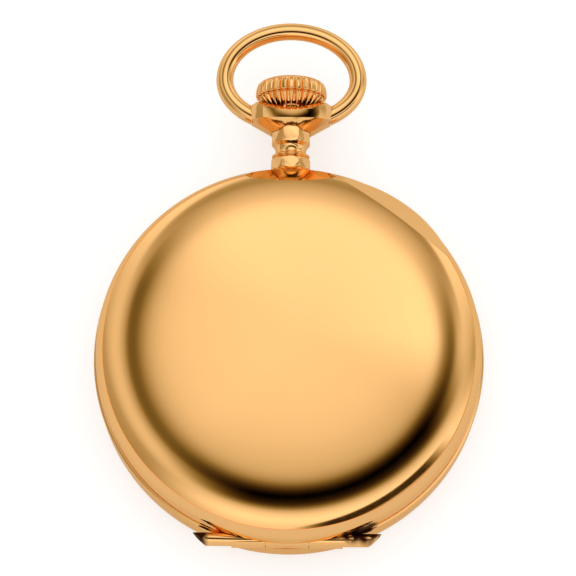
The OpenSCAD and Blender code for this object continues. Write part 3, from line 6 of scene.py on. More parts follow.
import bmesh  # noqa: E402
import bpy  # noqa: E402
from mathutils import Matrix, Vector  # noqa: E402


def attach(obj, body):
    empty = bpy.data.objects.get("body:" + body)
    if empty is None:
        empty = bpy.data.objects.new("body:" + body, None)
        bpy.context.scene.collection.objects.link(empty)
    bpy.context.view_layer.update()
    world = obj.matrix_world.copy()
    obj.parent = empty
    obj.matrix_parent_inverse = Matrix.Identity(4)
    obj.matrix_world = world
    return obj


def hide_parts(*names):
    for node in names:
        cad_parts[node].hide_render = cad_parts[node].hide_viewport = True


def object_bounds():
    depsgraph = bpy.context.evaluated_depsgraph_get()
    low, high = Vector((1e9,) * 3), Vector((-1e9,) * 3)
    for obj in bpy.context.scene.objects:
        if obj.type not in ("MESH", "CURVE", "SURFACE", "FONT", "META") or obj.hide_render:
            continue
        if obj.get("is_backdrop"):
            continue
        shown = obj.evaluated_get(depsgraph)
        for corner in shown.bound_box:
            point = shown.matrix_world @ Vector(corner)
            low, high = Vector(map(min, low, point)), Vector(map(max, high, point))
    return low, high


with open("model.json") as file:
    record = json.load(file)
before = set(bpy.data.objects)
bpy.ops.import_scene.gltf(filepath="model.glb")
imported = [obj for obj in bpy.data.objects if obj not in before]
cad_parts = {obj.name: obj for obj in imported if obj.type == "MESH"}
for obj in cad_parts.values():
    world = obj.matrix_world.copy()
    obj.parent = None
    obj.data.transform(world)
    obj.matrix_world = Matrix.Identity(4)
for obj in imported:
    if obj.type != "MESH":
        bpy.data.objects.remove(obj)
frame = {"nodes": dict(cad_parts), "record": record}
cad_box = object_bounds()

bl_info = {
    "name": "Full Hunter Pocket Watch",
    "version": (1, 0, 0),
    "blender": (4, 5, 0),
    "location": "View3D > Sidebar > Watch",
    "description": "Builds the outside, dial and movement of a full hunter pocket watch",
    "category": "Object",
}

# Shapes are laid out in millimetres, with the stem's axis at height 0; settings and materials are in metres
MM = 0.001
MID = 7.6  # height of the stem's axis over the floor
RIM_R = 25.65


# Settings


class WatchSizes(bpy.types.PropertyGroup):
    """Sizes of the covers, bow and crown"""

    rim_radius: bpy.props.FloatProperty(
        name="Rim radius", description="Radius of the covers' rims", default=RIM_R * MM, unit="LENGTH")
    cover_wall: bpy.props.FloatProperty(
        name="Cover wall", description="Wall of the front and back covers", default=0.65 * MM, unit="LENGTH")
    front_crease: bpy.props.FloatProperty(
        name="Front crease", description="Height of the front crease over the stem", default=5.2 * MM, unit="LENGTH")
    front_rise: bpy.props.FloatProperty(
        name="Front rise", description="Rise of the front dome over its crease", default=3.2 * MM, unit="LENGTH")
    back_crease: bpy.props.FloatProperty(
        name="Back crease", description="Depth of the back crease under the stem", default=5.0 * MM, unit="LENGTH")
    back_rise: bpy.props.FloatProperty(
        name="Back rise", description="Rise of the back dome beyond its crease", default=2.6 * MM, unit="LENGTH")
    rest_radius: bpy.props.FloatProperty(
        name="Resting face", description="Radius of the flat on the back cover", default=8 * MM, unit="LENGTH")
    bow_wire: bpy.props.FloatProperty(
        name="Bow wire", description="Radius of the bow's wire", default=1.15 * MM, unit="LENGTH")
    crown_radius: bpy.props.FloatProperty(
        name="Crown radius", description="Largest radius of the crown", default=4.75 * MM, unit="LENGTH")
    crown_height: bpy.props.FloatProperty(
        name="Crown height", description="Height of the crown", default=4.4 * MM, unit="LENGTH")
    flutes: bpy.props.IntProperty(
        name="Flutes", description="Number of flutes round the crown", default=28, min=12, max=40)
    flute_depth: bpy.props.FloatProperty(
        name="Flute depth", description="Depth of the crown's flutes", default=0.58 * MM, unit="LENGTH")


class WatchFinish(bpy.types.PropertyGroup):
    """Colours and finishes of the watch"""

    gold: bpy.props.FloatVectorProperty(
        name="Gold", description="Colour of the polished case", subtype="COLOR", size=3, default=(1.0, 0.56, 0.215))
    gold_roughness: bpy.props.FloatProperty(
        name="Gold roughness", description="How soft the case's reflections are", subtype="FACTOR", default=0.06)
    # painted shade: the dark colour laid into the gold at the ends of the hinge, where shade falls
    grime: bpy.props.FloatVectorProperty(
        name="Hinge_shade", description="Colour of old polish in the hinge", subtype="COLOR", size=3,
        default=(0.055, 0.012, 0.004))
    enamel: bpy.props.FloatVectorProperty(
        name="Enamel", description="Colour of the dial", subtype="COLOR", size=3, default=(0.95, 0.93, 0.87))
    ink: bpy.props.FloatVectorProperty(
        name="Numerals", description="Colour of the dial's numerals", subtype="COLOR", size=3,
        default=(0.012, 0.012, 0.016))
    nickel: bpy.props.FloatVectorProperty(
        name="Nickel", description="Colour of the main plate", subtype="COLOR", size=3, default=(0.62, 0.60, 0.55))
    steel: bpy.props.FloatVectorProperty(
        name="Steel", description="Colour of the polished steel", subtype="COLOR", size=3, default=(0.55, 0.56, 0.58))


class WatchStage(bpy.types.PropertyGroup):
    """Floor, lamps and camera"""

    distance: bpy.props.FloatProperty(
        name="Camera distance", description="From the camera to the watch", default=1.5, unit="LENGTH")
    tilt: bpy.props.FloatProperty(
        name="Camera tilt", description="How far the camera leans towards the hinge", default=math.radians(16.5),
        subtype="ANGLE")
    lean: bpy.props.FloatProperty(
        name="Camera lean", description="How far the watch leans in the picture", default=math.radians(0.55),
        subtype="ANGLE")
    floor: bpy.props.FloatVectorProperty(
        name="Floor", description="Colour of the floor", subtype="COLOR", size=3, default=(0.6, 0.6, 0.6))
    lift: bpy.props.FloatProperty(
        name="Floor lift", description="Light added to the floor where it is seen, so that it is white",
        default=0.55, min=0, max=1)


# Meshes


def deg(a):
    return math.radians(a)


def link(data, name):
    """A new object in the scene for a mesh, curve or camera."""
    obj = bpy.data.objects.new(name, data)
    bpy.context.scene.collection.objects.link(obj)
    return obj


def mesh_of(name, points, faces, lift):
    """A closed mesh from points in millimetres, with its faces turned outwards."""
    mesh = bpy.data.meshes.new(name)
    mesh.from_pydata([(x * MM, y * MM, (z + lift) * MM) for x, y, z in points], [], faces)
    bm = bmesh.new()
    bm.from_mesh(mesh)
    bmesh.ops.remove_doubles(bm, verts=bm.verts, dist=1e-7)
    bmesh.ops.dissolve_degenerate(bm, edges=bm.edges, dist=1e-7)
    bmesh.ops.recalc_face_normals(bm, faces=bm.faces)
    bm.to_mesh(mesh)
    bm.free()
    return mesh


def circle(count, radius=1.0, start=0.0):
    """Pairs round a circle, from a start given in steps."""
    angles = [2 * math.pi * (j + start) / count for j in range(count)]
    return [(radius * math.cos(a), radius * math.sin(a)) for a in angles]


def rings_mesh(name, rings, closed=False, lift=MID):
    """Joins rings of points, each ring closed round; a ring of one point is a pole."""
    points, starts, faces = [], [], []
    for r in rings:
        starts.append(len(points))
        points.extend(r)
    pairs = list(zip(range(len(rings) - 1), range(1, len(rings))))
    if closed:
        pairs.append((len(rings) - 1, 0))
    for a, b in pairs:
        na, nb = len(rings[a]), len(rings[b])
        n = max(na, nb)
        for j in range(n):
            k = (j + 1) % n
            face = [starts[a] + (j if na > 1 else 0), starts[a] + (k if na > 1 else 0),
                    starts[b] + (k if nb > 1 else 0), starts[b] + (j if nb > 1 else 0)]
            face = [v for i, v in enumerate(face) if v != face[i - 1]]
            if len(face) > 2:
                faces.append(face)
    if not closed:
        for i in (0, len(rings) - 1):
            if len(rings[i]) > 1:
                faces.append([starts[i] + j for j in range(len(rings[i]))])
    return mesh_of(name, points, faces, lift)


def lathe(name, profile, segments=256, closed=False, axis="Z", lift=MID):
    """Turns a profile of (radius, height) about Z, or of (radius, place) about Y."""
    rings = []
    for r, h in profile:
        if r < 1e-6:
            rings.append([(0, 0, h) if axis == "Z" else (0, h, 0)])
            continue
        rings.append([(x, y, h) if axis == "Z" else (x, h, y) for x, y in circle(segments, r, 0.5)])
    return rings_mesh(name, rings, closed, lift)


def curve_through(points, steps=6):
    """A smooth line through points, with as many steps from each point to the next."""
    out = []
    for i in range(len(points) - 1):
        p0 = points[max(i - 1, 0)]
        p1, p2 = points[i], points[i + 1]
        p3 = points[min(i + 2, len(points) - 1)]
        for s in range(steps):
            t = s / steps
            out.append(tuple(
                0.5 * (2 * b + (c - a) * t + (2 * a - 5 * b + 4 * c - d) * t * t + (3 * b - a - 3 * c + d) * t ** 3)
                for a, b, c, d in zip(p0, p1, p2, p3)))
    out.append(tuple(points[-1]))
    return out


def rod(name, start, end, radius, segments=64):
    """A straight round rod between two points in millimetres."""
    a, b = Vector(start), Vector(end)
    d = (b - a).normalized()
    u = d.orthogonal().normalized()
    v = d.cross(u)
    ring = [u * x + v * y for x, y in circle(segments)]
    return rings_mesh(name, [[tuple(p + w * radius) for w in ring] for p in (a, b)])


def cross_rod(name, half, y, h, radius, segments=64):
    """A rod across the watch, as long to the left as to the right."""
    return rod(name, (-half, y, h), (half, y, h), radius, segments)


def block(name, low, high, turn=0.0):
    """A box between two corners, turned about Z by an angle in degrees."""
    xs, ys, zs = zip(low, high)
    pts = [Matrix.Rotation(deg(turn), 3, "Z") @ Vector((x, y, z)) for z in zs for x, y in
           ((xs[0], ys[0]), (xs[1], ys[0]), (xs[1], ys[1]), (xs[0], ys[1]))]
    faces = [[0, 1, 2, 3], [4, 5, 6, 7]] + [[i, (i + 1) % 4, 4 + (i + 1) % 4, 4 + i] for i in range(4)]
    return mesh_of(name, [tuple(p) for p in pts], faces, MID)


def applied(obj):
    """The object's mesh with its modifiers baked in, and the modifiers taken off."""
    graph = bpy.context.evaluated_depsgraph_get()
    graph.update()
    mesh = bpy.data.meshes.new_from_object(obj.evaluated_get(graph), depsgraph=graph)
    obj.modifiers.clear()
    old = obj.data
    obj.data = mesh
    if old.users == 0:
        bpy.data.meshes.remove(old)
    return obj


def cut(obj, meshes, operation="DIFFERENCE"):
    """Cuts, joins or keeps what lies in other meshes, one after another."""
    for mesh in meshes:
        tool = link(mesh, "tool")
        m = obj.modifiers.new("cut", "BOOLEAN")
        m.operation = operation
        m.solver = "EXACT"
        m.object = tool
        applied(obj)
        bpy.data.objects.remove(tool)
    return obj


def freed(obj):
    """The object's mesh without the object."""
    mesh = obj.data.copy()
    bpy.data.objects.remove(obj)
    return mesh


def soften(obj, width, segments, angle):
    """Rounds the sharp edges of a mesh by a small width in millimetres."""
    m = obj.modifiers.new("edges", "BEVEL")
    m.width = width * MM
    m.segments = segments
    m.limit_method = "ANGLE"
    m.angle_limit = deg(angle)
    m.miter_outer = "MITER_ARC"
    return applied(obj)


def smooth(obj, angle):
    """Smooth shading, broken at edges sharper than an angle in degrees."""
    obj.data.shade_smooth()
    obj.data.set_sharp_from_angle(angle=deg(angle))
    return obj


def dress(obj, material, body, nodes=()):
    """Gives a finished piece its material, its body and the nodes it stands for."""
    obj.data.materials.clear()
    obj.data.materials.append(material)
    if nodes:
        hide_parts(*nodes)
    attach(obj, body)
    return obj


def host(node):
    """The body that carries a node in the frame's record."""
    return next(b for b, nodes in frame["record"]["behaviour"]["bodies"].items() if node in nodes)


def gild(obj, node, angle):
    """Names a piece of the case after its node, smooths it and dresses it in polished gold."""
    obj.name = node + "_gold"
    smooth(obj, angle)
    return dress(obj, finishes()["polished_gold"], host(node), [node])


def merged_copy(node, ending):
    """A copy of a node's mesh with its loose triangles joined and its flat faces made whole."""
    mesh = frame["nodes"][node].data.copy()
    bm = bmesh.new()
    bm.from_mesh(mesh)
    bmesh.ops.remove_doubles(bm, verts=bm.verts, dist=2e-7)
    bmesh.ops.dissolve_limit(bm, angle_limit=deg(0.6), verts=bm.verts, edges=bm.edges)
    bm.to_mesh(mesh)
    bm.free()
    mesh.name = node + ending
    return link(mesh, mesh.name)


# Materials


class Tree:
    """Short way to lay out the nodes of a material or a world."""

    def __init__(self, owner):
        owner.use_nodes = True
        self.owner, self.tree = owner, owner.node_tree
        self.tree.nodes.clear()

    def add(self, kind, **values):
        node = self.tree.nodes.new("ShaderNode" + kind)
        for key, value in values.items():
            setattr(node, key, value)
        return node

    def link(self, out, into):
        self.tree.links.new(out, into)

    def math(self, operation, *values):
        node = self.add("Math", operation=operation)
        for socket, v in zip(node.inputs, values):
            if isinstance(v, (int, float)):
                socket.default_value = v
            else:
                self.link(v, socket)
        return node.outputs[0]

    def span(self, value, low, high, a=0.0, b=1.0, kind="LINEAR"):
        """A value's place between low and high, as a place between a and b."""
        node = self.add("MapRange", interpolation_type=kind)
        self.link(value, node.inputs["Value"])
        for name, v in zip(("From Min", "From Max", "To Min", "To Max"), (low, high, a, b)):
            node.inputs[name].default_value = v
        return node.outputs[0]


class Finish(Tree):
    """A material of one shader; colours and heights come from the object's own coordinates."""

    def __init__(self, name, **values):
        super().__init__(bpy.data.materials.new(name))
        self.shader = self.add("BsdfPrincipled")
        self.link(self.shader.outputs[0], self.add("OutputMaterial").inputs["Surface"])
        self.place = self.add("TexCoord").outputs["Object"]
        self.set(**values)

    def set(self, **values):
        for key, value in values.items():
            socket = self.shader.inputs[key.replace("_", " ")]
            if isinstance(value, bpy.types.NodeSocket):
                self.link(value, socket)
            else:
                socket.default_value = value

    def noise(self, scale, detail=4.0, stretch=None):
        place = self.place
        if stretch:
            mapping = self.add("Mapping")
            mapping.inputs["Scale"].default_value = stretch
            self.link(place, mapping.inputs["Vector"])
            place = mapping.outputs[0]
        node = self.add("TexNoise")
        node.inputs["Scale"].default_value = scale
        node.inputs["Detail"].default_value = detail
        self.link(place, node.inputs["Vector"])
        return node.outputs[0]

    def mix(self, fac, a, b):
        node = self.add("Mix", data_type="RGBA")
        self.link(fac, node.inputs[0])
        for i, v in ((6, a), (7, b)):
            if isinstance(v, bpy.types.NodeSocket):
                self.link(v, node.inputs[i])
            else:
                node.inputs[i].default_value = (*v[:3], 1.0)
        return node.outputs[2]

    def bump(self, height, strength, distance):
        node = self.add("Bump")
        node.inputs["Strength"].default_value = strength
        node.inputs["Distance"].default_value = distance
        self.link(height, node.inputs["Height"])
        self.link(node.outputs[0], self.shader.inputs["Normal"])

    def near(self, point, reach):
        """One at a point, falling to nothing at a reach, both in metres."""
        node = self.add("VectorMath", operation="DISTANCE")
        self.link(self.place, node.inputs[0])
        node.inputs[1].default_value = point
        return self.span(node.outputs["Value"], 0.0, reach, 1.0, 0.0)


def tinted(colour, k):
    return tuple(c * k for c in colour)


# Where painted shade lies in the ends of the hinge: points and how far it reaches, in metres
HINGE_SHADE_SPOTS = (((-0.0119, -0.0248, 0.0083), 0.0021), ((0.0086, -0.0239, 0.0089), 0.0022),
         ((0.0106, -0.0239, 0.0089), 0.0024), ((0.0124, -0.0250, 0.0080), 0.0013))


def gold_material(finish):
    """Polished gold with a breath of haze, and painted shade in the ends of the hinge."""
    n = Finish("polished_gold", Metallic=1.0, Specular_Tint=(1.0, 0.86, 0.62, 1.0))
    haze = n.noise(38.0, 3.0)
    fine = n.noise(900.0, 5.0, stretch=(1.0, 0.35, 1.0))
    colour = n.mix(n.span(haze, 0.35, 0.7), finish.gold, tinted(finish.gold, 0.965))
    # painted shade: near the hinge ends the gold is mixed towards a dark colour that stands in for shade, and made
    # rougher there
    grime = 0.0
    for place, reach in HINGE_SHADE_SPOTS:
        grime = n.math("MAXIMUM", grime, n.near(place, reach))
    shade_mask = n.span(n.math("MULTIPLY", grime, n.span(n.noise(620.0, 3.0), 0.3, 0.5)), 0.12, 0.4)
    soft = finish.gold_roughness
    rough = n.span(n.math("ADD", haze, fine), 0.6, 1.5, soft * 0.7, soft * 1.5)
    n.set(Base_Color=n.mix(shade_mask, colour, finish.grime), Roughness=n.math("ADD", rough, n.math("MULTIPLY", shade_mask, 0.5)))
    n.bump(fine, 0.05, 0.00001)


def plated_material(name, colour, roughness, grain):
    """Plate or steel whose roughness and height follow a fine grain."""
    n = Finish(name, Metallic=1.0)
    fine = n.noise(grain, 6.0, stretch=(0.25, 1.0, 1.0))
    n.set(Base_Color=n.mix(n.span(n.noise(160.0), 0.3, 0.75), colour, tinted(colour, 0.82)),
          Roughness=n.span(fine, 0.3, 0.8, roughness * 0.75, roughness * 1.35))
    n.bump(fine, 0.25, 0.00002)


def clouded_material(name, colour, other, cloud, detail=4.0, rough=None, bump=None, **values):
    """One colour that drifts into another in a cloud, which roughness and height may follow."""
    n = Finish(name, **values)
    tone = n.noise(cloud, detail)
    n.set(Base_Color=n.mix(n.span(tone, 0.3, 0.7), colour, other))
    if rough:
        n.set(Roughness=n.span(tone, *rough))
    if bump:
        n.bump(tone, *bump)


def finishes():
    """Materials by name, this script's made once; blued steel, brass, bridges and jewels have the frame's own."""
    f = bpy.context.scene.watch_finish
    if "polished_gold" not in bpy.data.materials:
        gold_material(f)
        plated_material("frosted_plate", f.nickel, 0.42, 2600.0)
        plated_material("ground_steel", f.steel, 0.2, 1500.0)
        clouded_material("white_enamel", f.enamel, tinted(f.enamel, 0.95), 60.0, bump=(0.06, 0.00004),
                         Roughness=0.12, Coat_Weight=0.6, Coat_Roughness=0.03)
        clouded_material("fired_numerals", f.ink, (0.03, 0.03, 0.035), 900.0, rough=(0.3, 0.7, 0.22, 0.36),
                         Coat_Weight=0.4)
        clouded_material("crystal_glass", (1.0, 1.0, 1.0), (0.97, 0.985, 0.98), 90.0, 3.0,
                         rough=(0.4, 0.8, 0.0, 0.02), IOR=1.5, Transmission_Weight=1.0)
    return bpy.data.materials


# Shapes shared by the pieces


HINGE_Y = 25.0
FRONT_PIN_H = 0.75
BACK_PIN_H = -0.9
FRONT_BARREL = 0.9
FRONT_BARREL_ROOM = 1.0
BACK_BARREL = 0.7
HINGE_HALF = 12.6
BACK_HINGE_HALF = 7.4
KNUCKLE = 5.7
PIN_HALF = 14
PIN_R = 0.4
RIM_LOW = 0.56
CREASE_IN = 0.88
BACK_CREASE_IN = 0.7
LIP_AT = 55  # degrees from the right towards the pendant
FACET_AT = 53
FOOT_R = 2.2
BOW_PIVOT_Y = 34.3
CROWN_Y = 34.5
CUP_TOP_Y = 35.9
NECK_Y = 26.1
NECK_R = 2.8
NECK_FLAT_R = 2.64
CUP_DEPTH = 0.6
CUP_GAP = 0.1


def dome(r, crease, rise):
    return rise * (0.45 * (1 - (r / crease) ** 2) + 0.55 * (1 - (r / crease) ** 8))


def cover_profile(sizes, crease_h, rise, flat):
    """Half section of a cover from the middle of its outside to the middle of its inside."""
    rim = sizes.rim_radius / MM
    wall = sizes.cover_wall / MM
    crease_r = rim - (BACK_CREASE_IN if flat else CREASE_IN)
    outer = [] if flat == 0 else [(0.0, crease_h + rise)]
    steps = 56
    for i in range(steps + 1):
        r = flat + (crease_r - flat) * math.sin(math.pi / 2 * i / steps)
        outer.append((r, crease_h + dome(r - flat, crease_r - flat, rise)))
    if flat:
        side = curve_through([
            (crease_r + 0.02, crease_h), (rim - 0.42, crease_h - 0.06), (rim - 0.16, crease_h - 0.24),
            (rim - 0.02, crease_h - 0.6), (rim + 0.05, crease_h * 0.78), (rim + 0.07, crease_h * 0.62),
            (rim + 0.06, crease_h * 0.48), (rim + 0.05, crease_h * 0.35), (rim + 0.02, crease_h * 0.22),
            (rim, RIM_LOW + 0.12)], 5)
    else:
        # a fine turned line in the crease, then the rounded side
        side = [(crease_r + 0.015, crease_h - 0.09), (crease_r + 0.06, crease_h - 0.11)] + curve_through([
            (crease_r + 0.085, crease_h - 0.07), (crease_r + 0.28, crease_h - 0.38), (rim - 0.34, crease_h - 0.82),
            (rim - 0.12, crease_h - 1.28), (rim + 0.02, crease_h - 1.8), (rim + 0.07, crease_h * 0.52),
            (rim + 0.06, crease_h * 0.4), (rim + 0.05, crease_h * 0.3), (rim + 0.02, crease_h * 0.2),
            (rim, RIM_LOW + 0.12)], 5)
    edge = [(rim - 0.03, RIM_LOW + 0.03), (rim - 0.08, RIM_LOW), (rim - wall, RIM_LOW)]
    inner = [(rim - wall, crease_h * k) for k in (0.3, 0.5, 0.65)]
    # the front cover is thicker in its corner, where the facets are filed off
    inner += [(rim - wall, crease_h - 1.1)] if flat else [(rim - wall - 0.35, crease_h - 1.15)]
    inner_r = rim - 2 * wall - (0.0 if flat else 0.25)
    for i in range(24, -1, -1):
        r = flat + (inner_r - flat) * math.sin(math.pi / 2 * i / 24)
        inner.append((r, crease_h + dome(r - flat, crease_r - flat, rise) - wall))
    if flat:
        inner.append((0.0, crease_h + rise - wall))
    return outer + side + edge + inner


def front_barrel(name, half, radius, oblique=False):
    """A length of the front hinge's barrel, its ends square or cut along the case's edge."""
    slant = FRONT_BARREL * 1.1
    return rings_mesh(name, [[(end * (half - (slant - dy if oblique else 0.0)), -HINGE_Y + dy, FRONT_PIN_H + dz)
                              for dy, dz in circle(72, radius)] for end in (-1, 1)])


def hinge_and_foot_room():
    """What both covers leave open: the front hinge's barrel and the pendant's foot."""
    return [front_barrel("clear", HINGE_HALF + 0.05, FRONT_BARREL_ROOM, True),
            rod("notch", (0, 20, 0), (0, 30, 0), FOOT_R + 0.15, 128)]


def web_block(sign):
    """The strip that ties a cover's knuckle to its rim."""
    h0, h1 = (RIM_LOW, FRONT_PIN_H + 2) if sign > 0 else (BACK_PIN_H - 2, -RIM_LOW)
    ring = lathe("web", [(HINGE_Y, h0), (RIM_R, h0), (RIM_R, h1), (HINGE_Y, h1)], 360, closed=True)
    obj = link(ring, "web")
    cut(obj, [block("keep", (-KNUCKLE / 2, -27, h0 - 1), (KNUCKLE / 2, -24, h1 + 1))], "INTERSECT")
    return freed(obj)


def lip_mesh():
    """The thumb lip: a crescent that stands out of the front cover's rim."""
    rim, out, half = RIM_R, 0.8, 20
    chord = rim * math.sin(deg(half))
    rise = rim * (1 - math.cos(deg(half))) + out
    side = (chord ** 2 + rise ** 2) / (2 * rise)
    ring = lathe("lip", curve_through([(rim - 0.2, RIM_LOW + 0.05), (rim + out * 0.8, RIM_LOW + 0.2),
                                       (rim + out, RIM_LOW + 0.4), (rim + out, RIM_LOW + 0.7),
                                       (rim + out * 0.7, RIM_LOW + 1.15), (rim + 0.1, RIM_LOW + 1.9),
                                       (rim - 0.2, RIM_LOW + 2.4)], 5), 480, closed=True)
    obj = link(ring, "lip")
    centre = Vector((math.cos(deg(LIP_AT)), math.sin(deg(LIP_AT)), 0)) * (rim + out - side)
    cut(obj, [rod("keep", centre + Vector((0, 0, -1)), centre + Vector((0, 0, 9)), side, 720)], "INTERSECT")
    return freed(obj)


# Outside of the case


def pendant_facet(sizes):
    """What is filed off the front cover's edge beside the pendant: a lens-shaped facet."""
    steep, deep = deg(49), 0.56
    y, z = sizes.rim_radius / MM - CREASE_IN, sizes.front_crease / MM
    out, along = (math.sin(steep), math.cos(steep)), (math.cos(steep), -math.sin(steep))
    corners = []
    for x in (-9, 9):
        corners.append([(x, y + out[0] * (far - deep) + along[0] * side, z + out[1] * (far - deep) + along[1] * side)
                        for far, side in ((0, -4), (4, -4), (4, 4), (0, 4))])
    return rings_mesh("facet", corners)


def thumb_facet(sizes):
    """What is filed off above the lip: a long crescent on a cone whose axis lies off the middle."""
    inset, half, steep = 0.72, 21.0, 1.15
    r, z = sizes.rim_radius / MM - CREASE_IN, sizes.front_crease / MM
    away = (2 * inset * r - inset ** 2) / (2 * r * (1 - math.cos(deg(half))) - 2 * inset)
    cone = away + r - inset
    mesh = lathe("thumb", [(cone + 2.2 / steep, z - 2.2), (cone - 1.6 / steep, z + 1.6), (cone + 12, z + 1.6),
                           (cone + 12, z - 2.2)], 720, closed=True)
    way = Vector((math.cos(deg(FACET_AT)), math.sin(deg(FACET_AT)), 0))
    mesh.transform(Matrix.Translation(way * -away * MM))
    return mesh


def front_cover_mesh(sizes):
    shell = link(lathe("shell", cover_profile(sizes, sizes.front_crease / MM, sizes.front_rise / MM, 0), 480), "shell")
    cut(shell, [lip_mesh()], "UNION")
    cut(shell, hinge_and_foot_room() + [pendant_facet(sizes), thumb_facet(sizes)])
    cut(shell, [web_block(1), front_barrel("knuckle", KNUCKLE / 2, FRONT_BARREL)], "UNION")
    return cut(shell, [cross_rod("pin", PIN_HALF, -HINGE_Y, FRONT_PIN_H, PIN_R, 48)])


def back_cover_mesh(sizes):
    profile = cover_profile(sizes, sizes.back_crease / MM, sizes.back_rise / MM, sizes.rest_radius / MM)
    shell = link(lathe("shell", [(r, -h) for r, h in profile], 480), "shell")
    nail = block("nail", (RIM_R - 0.25, -3, -RIM_LOW - 0.25), (RIM_R + 0.25, 3, -RIM_LOW + 0.25), LIP_AT)
    cut(shell, [cross_rod("clear", BACK_HINGE_HALF, -HINGE_Y, BACK_PIN_H, BACK_BARREL + 0.1, 96)] +
        hinge_and_foot_room() + [nail])
    cut(shell, [web_block(-1), cross_rod("knuckle", KNUCKLE / 2, -HINGE_Y, BACK_PIN_H, BACK_BARREL, 72)], "UNION")
    return cut(shell, [cross_rod("pin", PIN_HALF, -HINGE_Y, BACK_PIN_H, PIN_R, 48)])


def pendant_neck(grow=0.0, top=6.8):
    """Neck of turned beads whose eight flats are planed off; grow makes it a cutter of the same form."""
    beads = [(0.87, -0.02), (0.9, 0.05), (0.955, 0.3), (0.985, 0.6), (1.0, 0.95), (0.99, 1.25), (0.96, 1.5),
             (0.9, 1.78), (0.84, 1.93), (0.83, 2.0), (0.85, 2.05), (0.895, 2.11), (0.905, 2.2), (0.895, 2.29),
             (0.85, 2.36), (0.79, 2.42), (0.75, 2.6), (0.732, 2.9), (0.74, 3.15), (0.785, 3.45), (0.86, 3.72),
             (0.935, 3.98), (0.968, 4.25), (0.977, 4.6), (0.977, 5.15), (0.97, 5.45), (0.952, 5.75), (0.925, 5.95),
             (0.89, 6.1), (0.8, 6.28), (0.66, 6.45), (0.6, top)]
    line = [(NECK_R * k + grow, NECK_Y + y) for k, y in curve_through(beads, 5)]
    neck = link(lathe("neck", [(0.0, line[0][1])] + line + [(0.0, line[-1][1])], 256, axis="Y"), "neck")
    flats = []
    for y in (-1.0, 8.0):
        reach = (NECK_FLAT_R * (1 - 0.07 * (y + 1) / 9) + grow) / math.cos(deg(22.5))
        flats.append([(reach * math.cos(deg(45 * j + 22.5)), NECK_Y + y, reach * math.sin(deg(45 * j + 22.5)))
                      for j in range(8)])
    cut(neck, [rings_mesh("flats", flats)], "INTERSECT")
    return freed(neck)


def head_outline(w, d, c, y, droop=0.0):
    """Plan of the head at a height: bulging front and back, the corners cut back by c."""
    front = []
    for i in range(13):
        x = (w - c) * (1 - 2 * i / 12)
        front.append((x, d * math.sqrt(1 - 0.34 * (x / (w - c)) ** 2)))
    line = [(w, -0.42 * d), (w, 0.42 * d)] + front + [(-w, 0.42 * d), (-w, -0.42 * d)]
    line += [(x, -z) for x, z in reversed(front)]
    return [(x, y - droop * (1 - (x / w) ** 2), z) for x, z in line]


def crown_cup(sizes):
    """Room for the crown's underside down to where it is pressed in."""
    radius, height = sizes.crown_radius / MM, sizes.crown_height / MM
    line = [(0.0, 33.55), (CROWN_LOWER[0][1] * radius + CUP_GAP, 33.55)]
    line += [(r * radius + CUP_GAP, CROWN_Y - CUP_DEPTH + height * t) for t, r in curve_through(CROWN_LOWER, 3)]
    line += [(radius + CUP_GAP, 38.0), (0.0, 38.0)]
    return lathe("cup", line, 224, axis="Y")


def pendant_mesh(sizes):
    head = link(rings_mesh("head", [head_outline(w, d, c, y, droop) for y, w, d, c, droop in (
        (31.4, 2.45, 2.25, 0.9, 0), (33.2, 5.3, 3.5, 1.5, 0.3), (34.2, 5.3, 3.72, 1.5, 0.1),
        (35.1, 5.3, 3.8, 1.5, 0), (35.9, 4.25, 3.5, 1.3, 0))]), "head")
    saddle, arch_y, arch_r = 4.4, 31.13, 1.12
    cut(head, [cross_rod("saddle", 7, CUP_TOP_Y - saddle, 0, saddle, 160)], "INTERSECT")
    soften(head, 0.09, 3, 12)
    cut(head, [pendant_neck(0.07, 6.7)])
    cut(head, [rod("arch", (0, arch_y, low), (0, arch_y, low + 3), arch_r, 96) for low in (-5, 2)])
    cut(head, [rod("core", (0, 30, 0), (0, 33, 0), 2.0, 64), pendant_neck(),
               rod("foot", (0, 23.67, 0), (0, NECK_Y + 0.3, 0), FOOT_R - 0.02, 128)], "UNION")
    cut(head, [crown_cup(sizes), rod("bore", (0, 22, 0), (0, 38, 0), 1.6, 96),
               cross_rod("pivot", 7, BOW_PIVOT_Y, 0, 0.55)])
    return soften(head, 0.03, 2, 42)


def bow_mesh(sizes):
    """An oval of round wire, lower half flatter than the upper, whose ends face the head."""
    wire, end_x, half_width = sizes.bow_wire / MM, 5.325, 8.95
    middle_y, low, high, pin_from, pin_to = BOW_PIVOT_Y + 4.8, 6.15, 6.9, 3.8, 6.76
    first = -math.degrees(math.acos((end_x - 0.8) / half_width))
    steps, sides = 180, 40
    path = []
    for i in range(steps + 1):
        a = deg(first + (180 - 2 * first) * i / steps)
        path.append(Vector((half_width * math.cos(a), middle_y + (low if math.sin(a) < 0 else high) * math.sin(a), 0)))
    rings = []
    for i, p in enumerate(path):
        t = (path[min(i + 1, steps)] - path[max(i - 1, 0)]).normalized()
        side = Vector((-t.y, t.x, 0))
        rings.append([tuple(p + side * wire * u + Vector((0, 0, wire * v))) for u, v in circle(sides)])
    bow = link(rings_mesh("bow", rings), "bow")
    cut(bow, [block("gap", (-end_x, BOW_PIVOT_Y - 3, -4), (end_x, BOW_PIVOT_Y + 2, 4))])
    soften(bow, 0.12, 3, 40)
    return cut(bow, [rod("pin", (a, BOW_PIVOT_Y, 0), (b, BOW_PIVOT_Y, 0), 0.5, 48)
                     for a, b in ((-pin_to, -pin_from), (pin_from, pin_to))], "UNION")


